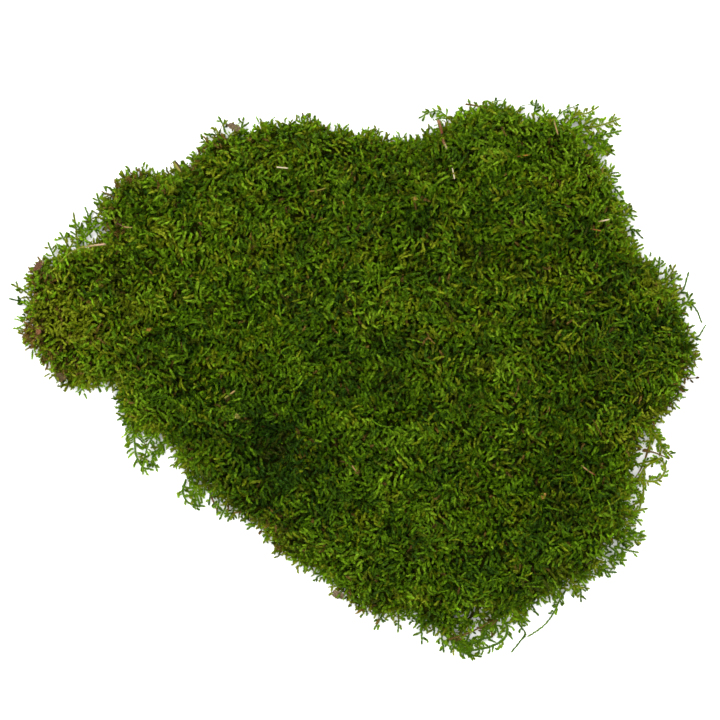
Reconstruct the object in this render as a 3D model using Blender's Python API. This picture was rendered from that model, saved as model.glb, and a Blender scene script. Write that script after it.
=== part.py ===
"""Moss clump: a lifted sheet of feather moss, lying with its cut underside flat.

The tangled mat is one solid with a lobed outline, soft hummocks and pointed tufts.
Round its rim lie loose fronds, each a stem with side branches, tucked under the edge.
Needles, straw, bark flakes and other litter rest on the mat.
Metres, +Z up; the origin is under the middle of the clump, on the surface it lies on.
"""
import math
import random

import bmesh
import bpy
import numpy as np
from mathutils import Vector, noise
from mathutils.bvhtree import BVHTree
from mathutils.geometry import delaunay_2d_cdt

MM = 0.001
CLEARANCE = 0.3 * MM

# The mat, in millimetres
MAT_HEIGHT = 17.0
RIM_HEIGHT = 5.5
RIM_STEP = 4.8
RIM_RAGGED = 2.0
UNDERCUT = 4.2
SHOULDER = 30.0
TUFT_STEP = 5.5
TUFT_RISE = 2.9
TUFT_DIP = 1.4
TUFT_LEAN = 1.4
RIPPLE_HEIGHT = 2.2
RIPPLE_SPREAD = 17.0

# The outline of the mat, clockwise from the left lobe, in millimetres
OUTLINE = [
    (-167.0, 39.5), (-164.0, 53.5), (-156.0, 61.0), (-148.0, 66.0), (-138.0, 66.5),
    (-131.0, 70.5), (-130.0, 83.5), (-123.0, 95.5), (-112.5, 104.5), (-100.0, 104.0),
    (-90.0, 104.5), (-84.0, 113.0), (-75.0, 120.0), (-70.0, 127.0), (-62.0, 125.0),
    (-53.0, 126.5), (-36.5, 129.5), (-18.0, 129.0), (-10.0, 124.5), (6.0, 123.5),
    (23.0, 120.5), (38.0, 123.5), (47.0, 132.0), (58.5, 136.0), (73.5, 136.5),
    (85.0, 132.5), (96.0, 134.0), (107.0, 127.5), (113.0, 119.5), (123.0, 111.0),
    (129.0, 100.5), (130.0, 87.5), (134.0, 77.5), (138.0, 69.0), (145.0, 60.0),
    (153.0, 51.0), (161.0, 39.5), (166.0, 27.0), (170.0, 14.5), (168.5, 1.0),
    (161.0, -9.5), (156.0, -17.5), (147.0, -23.5), (141.0, -31.5), (139.5, -43.0),
    (137.0, -53.5), (136.0, -65.5), (136.5, -76.5), (129.0, -88.5), (118.0, -97.5),
    (104.0, -107.0), (93.5, -110.5), (86.0, -116.0), (71.0, -120.5), (56.0, -126.0),
    (45.0, -128.5), (33.5, -124.5), (22.0, -118.0), (13.0, -120.0), (1.0, -116.0),
    (-9.0, -109.0), (-16.0, -100.0), (-29.0, -92.5), (-39.5, -86.5), (-47.5, -75.0),
    (-59.0, -68.5), (-73.0, -57.5), (-86.0, -49.0), (-91.0, -37.5), (-98.5, -28.0),
    (-109.0, -23.0), (-118.0, -20.0), (-119.0, -9.0), (-121.0, -2.5), (-138.0, -5.5),
    (-151.5, -2.5), (-154.5, 6.0), (-160.5, 12.0), (-166.5, 18.5), (-168.0, 29.0),
]

# Soft hummocks and hollows of the top: place, spread and height, in millimetres
SWELLS = [
    (-52.0, 96.0, 24.0, 4.5), (6.0, 78.0, 28.0, 4.0), (52.0, 112.0, 20.0, 4.5),
    (50.0, 40.0, 26.0, 4.5), (96.0, 82.0, 20.0, 4.0), (-98.0, 62.0, 20.0, 4.5),
    (-122.0, 26.0, 18.0, 4.0), (-148.0, 24.0, 15.0, 2.5), (104.0, 48.0, 20.0, 3.0),
    (84.0, -30.0, 24.0, 4.5), (122.0, 10.0, 20.0, 3.5), (-68.0, 14.0, 24.0, 3.5),
    (22.0, -52.0, 26.0, 4.0), (52.0, -92.0, 20.0, 3.0), (104.0, -80.0, 17.0, 2.5),
    (-72.0, 52.0, 15.0, -5.0), (-76.0, -4.0, 18.0, -4.0), (-44.0, -36.0, 17.0, -5.0),
    (14.0, 6.0, 18.0, -4.5), (28.0, 74.0, 14.0, -4.0), (132.0, 24.0, 14.0, -4.5),
    (114.0, 68.0, 16.0, -4.5), (80.0, 110.0, 14.0, -4.0), (96.0, -64.0, 18.0, -5.0),
    (4.0, -98.0, 15.0, -4.0), (42.0, -108.0, 13.0, -3.5), (54.0, -24.0, 15.0, -4.0),
    (8.0, 106.0, 13.0, -3.5), (-118.0, 54.0, 12.0, -3.5), (110.0, -34.0, 13.0, -3.5),
]

# Loose fronds, in millimetres. LOW lies on the ground, HIGH crosses over a low one.
STEM_RADIUS = 0.5
BRANCH_RADIUS = 0.75
BRANCH_STEP = 2.6
BRANCH_ANGLE = 62.0
LOW = 1.2
HIGH = 3.6

# Each frond: its name, the length of its branches, and the points its stem runs through
FRONDS = [
    ("frond_lower_left_1", 4.4,
     [(-112.5, -21.0, LOW), (-112.5, -30.5, LOW), (-111.5, -38.5, LOW),
      (-108.5, -44.0, LOW), (-104.5, -45.5, LOW)]),
    ("frond_lower_left_2", 3.0,
     [(-101.0, -26.0, LOW), (-104.5, -31.5, HIGH), (-106.5, -36.5, HIGH), (-107.5, -42.0, HIGH)]),
    ("frond_lower_left_3", 2.2,
     [(-96.0, -29.5, LOW), (-99.5, -36.0, LOW), (-103.0, -39.5, LOW), (-101.5, -45.0, LOW)]),
    ("frond_lower_left_4", 2.4,
     [(-86.5, -50.5, LOW), (-88.0, -56.0, LOW), (-86.5, -61.0, LOW),
      (-82.5, -63.5, LOW), (-78.5, -64.0, LOW)]),
    ("frond_lower_left_5", 1.8, [(-81.0, -52.5, LOW), (-80.0, -56.0, LOW), (-79.0, -60.0, LOW)]),
    ("frond_bottom_1", 3.2,
     [(72.0, -119.5, LOW), (75.0, -124.5, LOW), (74.0, -130.0, LOW),
      (69.0, -133.5, HIGH), (62.5, -135.5, HIGH), (56.0, -136.5, HIGH)]),
    ("frond_bottom_2", 3.2,
     [(46.5, -127.5, LOW), (48.0, -134.0, LOW), (54.0, -138.0, LOW), (60.5, -139.5, LOW)]),
    ("frond_bottom_3", 2.0,
     [(79.5, -117.0, LOW), (81.0, -123.0, LOW), (84.0, -128.0, LOW),
      (81.5, -132.0, LOW), (78.0, -136.5, LOW)]),
    ("frond_bottom_4", 1.8,
     [(105.0, -105.5, LOW), (101.5, -111.5, LOW), (99.0, -116.5, LOW),
      (95.5, -122.0, LOW), (91.0, -126.0, LOW), (86.5, -129.0, LOW)]),
    ("frond_top_1", 2.6,
     [(46.5, 130.5, LOW), (41.0, 134.5, LOW), (36.0, 134.0, LOW), (32.0, 132.0, LOW)]),
    ("frond_top_2", 1.6,
     [(60.5, 134.5, LOW), (65.5, 138.5, LOW), (70.0, 140.0, LOW), (75.0, 139.5, LOW)]),
    ("frond_top_3", 1.5, [(79.8, 133.6, LOW), (82.0, 137.0, LOW), (88.0, 138.5, LOW)]),
    ("frond_upper_right_1", 4.0,
     [(108.5, 124.5, LOW), (113.5, 126.5, LOW), (119.5, 127.0, LOW),
      (125.0, 128.5, LOW), (130.5, 130.5, LOW)]),
    ("frond_upper_right_2", 2.4,
     [(113.5, 117.0, LOW), (118.5, 121.5, LOW), (124.5, 123.0, LOW), (131.0, 124.5, LOW)]),
    ("frond_upper_right_3", 2.4,
     [(104.5, 128.0, LOW), (109.5, 132.5, HIGH), (115.0, 133.5, HIGH), (119.5, 136.0, HIGH)]),
    ("frond_upper_right_4", 1.8, [(99.5, 130.5, LOW), (103.0, 134.5, LOW), (109.5, 137.5, LOW)]),
    ("frond_right_1", 2.2, [(120.5, 112.0, LOW), (124.0, 115.5, LOW), (128.0, 113.5, LOW)]),
    ("frond_right_2", 2.4, [(129.3, 89.9, LOW), (133.5, 86.5, LOW), (138.5, 84.5, LOW)]),
    ("frond_right_3", 2.0, [(134.5, 74.0, LOW), (138.5, 75.0, LOW), (142.5, 71.5, LOW)]),
    ("frond_right_4", 3.2, [(152.5, 49.0, LOW), (156.0, 51.0, LOW), (159.0, 56.0, LOW)]),
    ("frond_right_5", 2.0, [(159.0, 40.5, LOW), (163.5, 45.0, LOW), (166.0, 52.5, LOW)]),
    ("frond_right_6", 2.2,
     [(161.0, 36.5, LOW), (166.0, 38.5, LOW), (170.0, 35.0, LOW), (172.5, 29.5, LOW)]),
    ("frond_right_7", 2.0, [(166.0, 21.0, LOW), (171.0, 21.5, LOW), (174.4, 26.2, LOW)]),
    ("frond_right_8", 3.0,
     [(146.5, -24.8, LOW), (149.5, -29.0, LOW), (152.5, -33.5, LOW), (157.0, -38.5, HIGH)]),
    ("frond_right_9", 2.4,
     [(137.5, -50.5, LOW), (143.0, -51.0, LOW), (149.0, -51.5, LOW), (153.0, -49.0, LOW),
      (154.5, -44.5, LOW), (152.5, -41.0, LOW), (148.5, -40.0, LOW)]),
    ("frond_right_10", 1.8, [(136.5, -56.0, LOW), (141.5, -57.5, LOW), (142.0, -62.5, LOW)]),
    ("frond_right_11", 2.4, [(135.0, -75.5, LOW), (139.5, -77.0, LOW), (143.5, -78.5, LOW)]),
    ("frond_upper_left_1", 3.6,
     [(-130.2, 74.2, LOW), (-133.0, 76.5, LOW), (-135.0, 80.0, LOW), (-137.0, 85.5, LOW)]),
    ("frond_upper_left_2", 3.0,
     [(-140.0, 65.0, LOW), (-141.5, 70.5, LOW), (-142.0, 76.0, LOW), (-143.0, 82.5, LOW)]),
    ("frond_left_1", 1.8, [(-165.5, 42.5, LOW), (-169.0, 45.0, LOW), (-173.0, 47.0, LOW)]),
    ("frond_left_2", 1.6, [(-165.5, 36.5, LOW), (-169.5, 38.8, LOW), (-174.2, 40.0, LOW)]),
]

# Litter lies no steeper than this slope, even where the mat's shoulder falls away under it
STEEPEST_LIE = 0.3
TAN = (0.46, 0.27, 0.13)
RUST = (0.30, 0.12, 0.06)
PALE = (0.62, 0.52, 0.36)
OCHRE = (0.36, 0.27, 0.07)
UMBER = (0.13, 0.08, 0.05)

# Slender litter: name, radius, colour, and the points it runs through, in millimetres
SLENDER_LITTER = [
    ("straw_1", 0.55, OCHRE, [(-149.0, 58.5), (-141.5, 64.5), (-133.5, 66.5), (-126.0, 67.5)]),
    ("straw_2", 0.60, PALE, [(-66.5, -9.5), (-61.0, -5.5)]),
    ("straw_3", 0.50, PALE, [(-40.5, 105.5), (-34.5, 105.0)]),
    ("straw_4", 0.45, PALE, [(47.0, 105.0), (48.0, 99.5)]),
    ("needle_1", 0.50, TAN, [(-121.5, 78.5), (-116.5, 76.0), (-112.0, 75.5)]),
    ("needle_2", 0.45, TAN, [(98.0, 129.5), (99.0, 125.5), (100.0, 122.0)]),
    ("needle_3", 0.50, PALE, [(120.0, 78.5), (126.5, 80.0)]),
    ("needle_4", 0.50, RUST, [(116.0, 75.0), (121.5, 74.0)]),
    ("needle_5", 0.45, TAN, [(111.5, -43.0), (114.5, -45.5), (118.5, -48.0)]),
    ("needle_6", 0.45, TAN, [(-3.0, -43.0), (0.5, -48.0)]),
    ("needle_7", 0.45, TAN, [(-25.5, 93.5), (-20.0, 94.0), (-15.0, 95.5)]),
    ("needle_8", 0.45, RUST, [(-7.5, 89.0), (-7.0, 85.0)]),
    ("needle_9", 0.45, TAN, [(79.5, 111.0), (86.0, 112.0)]),
    ("twig_1", 0.80, RUST, [(40.0, 129.5), (41.0, 126.5), (42.0, 122.5)]),
    ("twig_2", 0.65, TAN, [(42.0, 119.5), (44.5, 114.5)]),
]
DEAD_STEM = [(-75.5, -54.5, LOW), (-73.5, -60.0, LOW), (-71.0, -66.0, LOW)]
DEAD_STEM_RADIUS = 0.5

# Flat litter: name, length, width, thickness, turn in degrees, colour, place
FLAT_LITTER = [
    ("bark_flake_1", 8.5, 3.6, 0.9, 52.0, UMBER, (-159.5, 57.0)),
    ("bark_flake_2", 5.0, 3.0, 0.8, 80.0, RUST, (-159.5, 24.0)),
    ("bark_flake_3", 9.5, 3.2, 0.8, -24.0, UMBER, (-62.5, 126.5)),
    ("bark_flake_4", 6.5, 5.0, 1.0, 10.0, UMBER, (-148.5, 1.0)),
    ("bark_flake_5", 7.0, 5.0, 1.2, -12.0, UMBER, (-10.0, -108.0)),
    ("bark_flake_6", 4.2, 2.4, 0.8, 35.0, RUST, (92.5, -58.5)),
    ("bark_flake_7", 4.0, 2.4, 0.7, -20.0, TAN, (-60.5, -18.5)),
    ("bark_flake_8", 4.0, 2.0, 0.7, 0.0, RUST, (-104.5, 24.5)),
    ("bark_flake_9", 3.4, 2.2, 0.7, 70.0, TAN, (28.5, 90.0)),
    ("dry_leaf", 7.5, 2.6, 0.8, -56.0, OCHRE, (-90.5, 106.5)),
]

MOSS_GREEN = (0.040, 0.070, 0.006)
FROND_GREEN = (0.060, 0.115, 0.010)


def finish(obj, colour, roughness):
    """Gives the object its own material."""
    material = bpy.data.materials.new(obj.name + "_finish")
    material.use_nodes = True
    shader = material.node_tree.nodes["Principled BSDF"]
    shader.inputs["Base Color"].default_value = (*colour, 1.0)
    shader.inputs["Roughness"].default_value = roughness
    shader.inputs["Metallic"].default_value = 0.0
    obj.data.materials.append(material)


def add_object(name, bm, colour, roughness=0.8):
    """Turns a bmesh, modelled in millimetres, into a named object in metres."""
    bmesh.ops.scale(bm, vec=(MM, MM, MM), verts=bm.verts)
    bmesh.ops.recalc_face_normals(bm, faces=bm.faces)
    mesh = bpy.data.meshes.new(name)
    bm.to_mesh(mesh)
    bm.free()
    obj = bpy.data.objects.new(name, mesh)
    bpy.context.collection.objects.link(obj)
    finish(obj, colour, roughness)
    return obj


def smooth_curve(points, step, closed=False):
    """Points about one step apart on a Catmull-Rom curve through the given points."""
    points = np.array(points, float)
    count = len(points)
    spans = count if closed else count - 1
    fine = []
    for i in range(spans):
        p1 = points[i]
        p2 = points[(i + 1) % count]
        p0 = points[i - 1] if closed or i > 0 else 2 * p1 - p2
        p3 = points[(i + 2) % count] if closed or i + 2 < count else 2 * p2 - p1
        for t in np.linspace(0.0, 1.0, 12, endpoint=False):
            fine.append(0.5 * (2 * p1 + (p2 - p0) * t + (2 * p0 - 5 * p1 + 4 * p2 - p3) * t ** 2
                               + (3 * p1 - p0 - 3 * p2 + p3) * t ** 3))
    fine.append(points[0] if closed else points[-1])
    fine = np.array(fine)
    along = np.concatenate([[0.0], np.cumsum(np.linalg.norm(np.diff(fine, axis=0), axis=1))])
    pieces = max(2, round(along[-1] / step))
    places = np.linspace(0.0, along[-1], pieces + 1)
    if closed:
        places = places[:-1]
    return np.stack([np.interp(places, along, fine[:, k]) for k in range(fine.shape[1])], axis=1)


def outward_normals(loop):
    """Unit normals in plan of a clockwise loop, pointing out of it."""
    along = np.roll(loop, -1, axis=0) - np.roll(loop, 1, axis=0)
    normals = np.stack([-along[:, 1], along[:, 0]], axis=1)
    return normals / np.linalg.norm(normals, axis=1, keepdims=True)


def distance_inside(points, loop):
    """How far each point lies inside the loop; negative outside."""
    start = loop
    end = np.roll(loop, -1, axis=0)
    edge = end - start
    to_point = points[:, None, :] - start[None, :, :]
    t = np.clip((to_point * edge).sum(2) / (edge * edge).sum(1), 0.0, 1.0)
    gap = np.linalg.norm(to_point - t[:, :, None] * edge, axis=2).min(axis=1)
    x, y = points[:, 0:1], points[:, 1:2]
    crosses = (start[:, 1] > y) != (end[:, 1] > y)
    height = np.where(edge[:, 1] == 0.0, 1e-9, edge[:, 1])
    left_of = x < edge[:, 0] * (y - start[:, 1]) / height + start[:, 0]
    inside = (crosses & left_of).sum(axis=1) % 2 == 1
    return np.where(inside, gap, -gap)


def mat_top(points, depth):
    """Height of the mat's top over points that lie depth inside its outline."""
    swell = np.zeros(len(points))
    for x, y, spread, rise in SWELLS:
        away = (points[:, 0] - x) ** 2 + (points[:, 1] - y) ** 2
        swell += rise * np.exp(-away / spread ** 2)
    ripple = np.array([noise.noise(Vector((x / RIPPLE_SPREAD, y / RIPPLE_SPREAD, 4.0)))
                       for x, y in points])
    full = MAT_HEIGHT + swell + RIPPLE_HEIGHT * ripple
    rounding = np.sqrt(1.0 - (1.0 - np.clip(depth / SHOULDER, 0.0, 1.0)) ** 2)
    return RIM_HEIGHT + (full - RIM_HEIGHT) * rounding


def tuft_points(rim, rng):
    """A loose triangular lattice inside the rim; every third point is the tip of a tuft."""
    row_step = TUFT_STEP * math.sqrt(3.0) / 2.0
    low, high = rim.min(axis=0), rim.max(axis=0)
    points, tips = [], []
    for row in range(int((high[1] - low[1]) / row_step) + 1):
        for column in range(int((high[0] - low[0]) / TUFT_STEP) + 1):
            x = low[0] + (column + 0.5 * (row % 2)) * TUFT_STEP
            y = low[1] + row * row_step
            angle, shift = rng.uniform(0.0, math.tau), rng.uniform(0.0, 0.28) * TUFT_STEP
            points.append((x + shift * math.cos(angle), y + shift * math.sin(angle)))
            tips.append((column - row // 2 + 2 * row) % 3 == 0)
    points, tips = np.array(points), np.array(tips)
    kept = distance_inside(points, rim) > 0.6 * TUFT_STEP
    return points[kept], tips[kept]


def build_mat():
    """The mat: a ragged rim, a top of leaning tufts, and a flat underside set in from the rim."""
    rng = random.Random(11)
    smooth = smooth_curve(OUTLINE, RIM_STEP, closed=True)
    outward = outward_normals(smooth)
    ragged = [RIM_RAGGED * (rng.uniform(0.2, 1.0) if i % 2 else rng.uniform(-1.0, -0.2))
              for i in range(len(smooth))]
    rim = smooth + outward * np.array(ragged)[:, None]
    rim_z = RIM_HEIGHT + np.array([rng.uniform(-1.2, 1.2) for _ in rim])
    sole = smooth
    for _ in range(3):
        sole = (np.roll(sole, 1, axis=0) + sole + np.roll(sole, -1, axis=0)) / 3.0
    sole = sole - outward_normals(sole) * UNDERCUT

    inner, tips = tuft_points(rim, rng)
    depth = distance_inside(inner, smooth)
    inner_z = mat_top(inner, depth)
    for i, is_tip in enumerate(tips):
        strength = rng.uniform(0.5, 1.0) * min(1.0, 0.45 + depth[i] / 20.0)
        inner_z[i] += strength * TUFT_RISE if is_tip else -strength * TUFT_DIP
        angle = rng.uniform(0.0, math.tau)
        if is_tip:
            inner[i] += TUFT_LEAN * strength * np.array([math.cos(angle), math.sin(angle)])

    count = len(rim)
    flat = [Vector(p) for p in rim] + [Vector(p) for p in inner]
    edges = [(i, (i + 1) % count) for i in range(count)]
    triangles = delaunay_2d_cdt(flat, edges, [], 1, 1e-6)[2]
    bm = bmesh.new()
    rim_verts = [bm.verts.new((p.x, p.y, z)) for p, z in zip(flat, rim_z)]
    inner_verts = [bm.verts.new((p.x, p.y, z)) for p, z in zip(flat[count:], inner_z)]
    sole_verts = [bm.verts.new((x, y, 0.0)) for x, y in sole]
    top_verts = rim_verts + inner_verts
    for triangle in triangles:
        bm.faces.new([top_verts[i] for i in triangle])
    for i in range(count):
        j = (i + 1) % count
        bm.faces.new((rim_verts[i], rim_verts[j], sole_verts[j], sole_verts[i]))
    bm.faces.new(sole_verts)
    return add_object("moss_mat", bm, MOSS_GREEN, 0.85)


def square_ring(bm, centre, along, radius):
    """Four vertices round a point, in the order top left, top right, bottom right, bottom left."""
    up = Vector((0.0, 0.0, 1.0))
    right = along.cross(up).normalized()
    corners = ((-1.0, 1.0), (1.0, 1.0), (1.0, -1.0), (-1.0, -1.0))
    return [bm.verts.new(centre + radius * (side * right + rise * up)) for side, rise in corners]


def join_rings(bm, first, second, skip=None):
    """Four quads between two rings of four; skip leaves one side open."""
    for i in range(4):
        if i != skip:
            j = (i + 1) % 4
            bm.faces.new((first[i], first[j], second[j], second[i]))


def grow_branch(bm, base, direction, length):
    """A pointed branch out of an open quad in the side of a stem: a belly, then a tip."""
    centre = sum((v.co for v in base), Vector()) / 4.0
    across = Vector((-direction.y, direction.x, 0.0))
    belly_at = centre + 0.45 * length * direction
    belly = []
    for v in base:
        side = 1.0 if (v.co - centre).dot(across) > 0.0 else -1.0
        rise = 1.0 if v.co.z > centre.z else -1.0
        offset = BRANCH_RADIUS * (side * across + 0.75 * rise * Vector((0.0, 0.0, 1.0)))
        belly.append(bm.verts.new(belly_at + offset))
    join_rings(bm, base, belly)
    tip = bm.verts.new(centre + length * direction)
    for i in range(4):
        bm.faces.new((belly[i], belly[(i + 1) % 4], tip))


def build_frond(name, reach, points, seed):
    """A frond: a stem of square section whose sides open in turn into pointed branches."""
    rng = random.Random(seed)
    centres = [Vector(p) for p in smooth_curve(points, BRANCH_STEP)]
    count = len(centres)
    bm = bmesh.new()
    rings = []
    for i, centre in enumerate(centres):
        along = centres[min(i + 1, count - 1)] - centres[max(i - 1, 0)]
        radius = STEM_RADIUS * (1.0 - 0.45 * i / (count - 1))
        rings.append(square_ring(bm, centre, along, radius))
    bm.faces.new(rings[0])
    tip_along = (centres[-1] - centres[-2]).normalized()
    tip = bm.verts.new(centres[-1] + 1.2 * tip_along)
    for i in range(4):
        bm.faces.new((rings[-1][i], rings[-1][(i + 1) % 4], tip))
    first_side = rng.choice((0, 1))
    for i in range(count - 1):
        if i == 0:
            join_rings(bm, rings[0], rings[1])
            continue
        to_right = (i + first_side) % 2 == 1
        side = 1 if to_right else 3
        join_rings(bm, rings[i], rings[i + 1], skip=side)
        along = centres[i + 1] - centres[i]
        along.z = 0.0
        turn = math.radians(BRANCH_ANGLE + rng.uniform(-9.0, 9.0)) * (-1.0 if to_right else 1.0)
        direction = along.normalized()
        direction = Vector((direction.x * math.cos(turn) - direction.y * math.sin(turn),
                            direction.x * math.sin(turn) + direction.y * math.cos(turn), 0.0))
        taper = 1.0 - 0.5 * i / (count - 1)
        length = max(1.3, reach * taper * rng.uniform(0.85, 1.1))
        a, b = side, (side + 1) % 4
        opening = (rings[i][a], rings[i][b], rings[i + 1][b], rings[i + 1][a])
        grow_branch(bm, opening, direction, length)
    return add_object(name, bm, FROND_GREEN, 0.7)


def tapered_rod(bm, centres, radius, sides=5):
    """A round rod along the centres, thinner towards both ends."""
    count = len(centres)
    rings = []
    for i, centre in enumerate(centres):
        along = (centres[min(i + 1, count - 1)] - centres[max(i - 1, 0)]).normalized()
        right = along.cross(Vector((0.0, 0.0, 1.0))).normalized()
        over = right.cross(along)
        r = radius * (0.55 + 0.45 * math.sin(math.pi * i / (count - 1)))
        ring = []
        for k in range(sides):
            angle = math.tau * k / sides
            ring.append(bm.verts.new(centre + r * (math.cos(angle) * right + math.sin(angle) * over)))
        rings.append(ring)
    for first, second in zip(rings, rings[1:]):
        for k in range(sides):
            j = (k + 1) % sides
            bm.faces.new((first[k], first[j], second[j], second[k]))
    bm.faces.new(rings[0])
    bm.faces.new(rings[-1])


def resting_height(tree, x, y, reach):
    """The mat's highest point within reach of a place, in millimetres."""
    highest = 0.0
    for ring, spokes in ((0.0, 1), (0.5 * reach, 8), (reach, 12)):
        for k in range(spokes):
            angle = math.tau * k / spokes
            start = Vector((x + ring * math.cos(angle), y + ring * math.sin(angle), 60.0)) * MM
            hit = tree.ray_cast(start, Vector((0.0, 0.0, -1.0)))[0]
            if hit is not None:
                highest = max(highest, hit.z / MM)
    return highest


def build_slender(name, radius, colour, points, tree):
    """A needle, straw or twig laid over the tufts of the mat."""
    plan = smooth_curve(points, 2.2)
    line = np.linalg.norm(plan - plan[0], axis=1)
    needed = np.array([resting_height(tree, x, y, 1.2 * radius + 0.6) for x, y in plan])
    carried = needed > 0.0
    slope = np.polyfit(line[carried], needed[carried], 1)[0]
    lying = np.clip(slope, -STEEPEST_LIE, STEEPEST_LIE) * line
    heights = lying + (needed - lying).max() + radius + CLEARANCE / MM
    bm = bmesh.new()
    tapered_rod(bm, [Vector((x, y, z)) for (x, y), z in zip(plan, heights)], radius)
    return add_object(name, bm, colour)


def build_flat(name, length, width, thickness, turn, colour, place, tree):
    """A flake of bark or a dry leaf: a thin lens with an uneven outline."""
    sides = 9
    rng = random.Random(name)
    turn = math.radians(turn)
    outline = []
    for k in range(sides):
        angle = math.tau * k / sides
        size = rng.uniform(0.82, 1.0)
        u, v = 0.5 * length * size * math.cos(angle), 0.5 * width * size * math.sin(angle)
        outline.append((place[0] + u * math.cos(turn) - v * math.sin(turn),
                        place[1] + u * math.sin(turn) + v * math.cos(turn)))
    plan = np.array(outline + [place])
    needed = np.array([resting_height(tree, x, y, 0.8) for x, y in plan])
    carried = needed > 0.0
    spots = np.c_[plan[carried], np.ones(carried.sum())]
    slope = np.linalg.lstsq(spots, needed[carried], rcond=None)[0][:2]
    slope *= min(1.0, STEEPEST_LIE / max(np.linalg.norm(slope), 1e-9))
    lift = (needed - plan @ slope).max() + 2.0 * CLEARANCE / MM

    def point(x, y, rise):
        return Vector((x, y, slope[0] * x + slope[1] * y + lift + rise))

    bm = bmesh.new()
    edge = [bm.verts.new(point(x, y, 0.45 * thickness)) for x, y in outline]
    inset = [(place[0] + 0.55 * (x - place[0]), place[1] + 0.55 * (y - place[1]))
             for x, y in outline]
    top = [bm.verts.new(point(x, y, thickness)) for x, y in inset]
    bottom = [bm.verts.new(point(x, y, 0.0)) for x, y in inset]
    for k in range(sides):
        j = (k + 1) % sides
        bm.faces.new((edge[k], edge[j], top[j], top[k]))
        bm.faces.new((edge[j], edge[k], bottom[k], bottom[j]))
    bm.faces.new(top)
    bm.faces.new(bottom)
    return add_object(name, bm, colour)


def build_dead_stem():
    """A bare brown stem that trails from under the rim."""
    bm = bmesh.new()
    tapered_rod(bm, [Vector(p) for p in smooth_curve(DEAD_STEM, 2.4)], DEAD_STEM_RADIUS)
    return add_object("dead_stem", bm, UMBER)


for old in list(bpy.data.objects):
    bpy.data.objects.remove(old)

mat = build_mat()
mat_tree = BVHTree.FromPolygons([v.co for v in mat.data.vertices],
                                [p.vertices for p in mat.data.polygons])
for number, (frond_name, frond_reach, frond_points) in enumerate(FRONDS):
    build_frond(frond_name, frond_reach, frond_points, seed=100 + number)
build_dead_stem()
for litter in SLENDER_LITTER:
    build_slender(*litter, mat_tree)
for litter in FLAT_LITTER:
    build_flat(*litter, mat_tree)
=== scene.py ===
"""Moss clump: the looks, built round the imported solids.

A lifted sheet of feather moss lies on a pale floor and is seen from straight above.
Its solid mat is dressed, from the bottom up, with a brown thatch of dead stems, some
twenty-three thousand leafy shoots, loose fronds round the rim, and the litter caught
on top. Metres, +Z up.
"""
import math
import random

import bpy
import numpy as np
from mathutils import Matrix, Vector, noise
from mathutils.bvhtree import BVHTree
from mathutils.geometry import delaunay_2d_cdt


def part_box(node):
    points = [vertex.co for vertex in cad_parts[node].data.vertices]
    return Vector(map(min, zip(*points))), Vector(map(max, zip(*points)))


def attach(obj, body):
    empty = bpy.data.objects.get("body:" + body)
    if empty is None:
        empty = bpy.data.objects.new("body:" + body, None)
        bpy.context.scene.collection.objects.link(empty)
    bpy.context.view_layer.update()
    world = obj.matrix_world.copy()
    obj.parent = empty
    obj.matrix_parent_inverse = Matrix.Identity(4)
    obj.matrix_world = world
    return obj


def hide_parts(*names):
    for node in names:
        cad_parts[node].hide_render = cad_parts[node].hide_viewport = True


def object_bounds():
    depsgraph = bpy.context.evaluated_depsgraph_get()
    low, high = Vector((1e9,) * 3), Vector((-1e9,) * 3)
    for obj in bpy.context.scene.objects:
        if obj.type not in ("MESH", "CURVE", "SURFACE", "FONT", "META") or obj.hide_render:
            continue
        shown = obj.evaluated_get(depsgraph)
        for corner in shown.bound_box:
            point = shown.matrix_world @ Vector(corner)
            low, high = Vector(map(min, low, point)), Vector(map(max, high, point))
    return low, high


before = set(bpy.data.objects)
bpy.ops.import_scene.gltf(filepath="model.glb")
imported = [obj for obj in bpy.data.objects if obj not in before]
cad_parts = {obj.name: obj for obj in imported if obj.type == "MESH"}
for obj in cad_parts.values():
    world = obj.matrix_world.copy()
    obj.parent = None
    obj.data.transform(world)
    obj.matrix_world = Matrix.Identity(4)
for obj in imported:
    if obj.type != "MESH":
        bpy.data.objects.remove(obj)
cad_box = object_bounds()
MM = 0.001


# ---------------------------------------------------------------- the stage
# A plain, almost white floor under the clump, lit by a pale sky and one big soft lamp
# from the upper left. The camera hangs straight above, as in the photo.
FLOOR_SIZE = 6.0
FLOOR_COLOUR = (0.88, 0.88, 0.88)
SKY_STRENGTH = 2.2
LAMP_PLACE = (-0.9, 1.2, 2.1)
LAMP_SIZE = 1.6
LAMP_POWER = 54.0
VIEW_CENTRE = (1.0 * MM, 9.5 * MM)
VIEW_WIDTH = 360.0 * MM
VIEW_LEVEL = 13.0 * MM
CAMERA_HEIGHT = 1.9
SENSOR_WIDTH = 36.0


def new_material(name, **settings):
    """A material, its node tree and its shader, with some of the shader's inputs set."""
    material = bpy.data.materials.new(name)
    material.use_nodes = True
    shader = material.node_tree.nodes["Principled BSDF"]
    for label, value in settings.items():
        shader.inputs[label.replace("_", " ")].default_value = value
    return material, material.node_tree, shader


bpy.ops.mesh.primitive_plane_add(size=FLOOR_SIZE, location=(0.0, 0.0, 0.0))
floor = bpy.context.object
floor.name = "floor"
floor_paint = new_material("floor_paint", Base_Color=(*FLOOR_COLOUR, 1.0), Roughness=0.9,
                           Specular_IOR_Level=0.2)[0]
floor.data.materials.append(floor_paint)

sky = bpy.data.worlds.new("sky")
sky.use_nodes = True
sky.node_tree.nodes["Background"].inputs["Color"].default_value = (1.0, 1.0, 1.0, 1.0)
sky.node_tree.nodes["Background"].inputs["Strength"].default_value = SKY_STRENGTH
bpy.context.scene.world = sky

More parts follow.
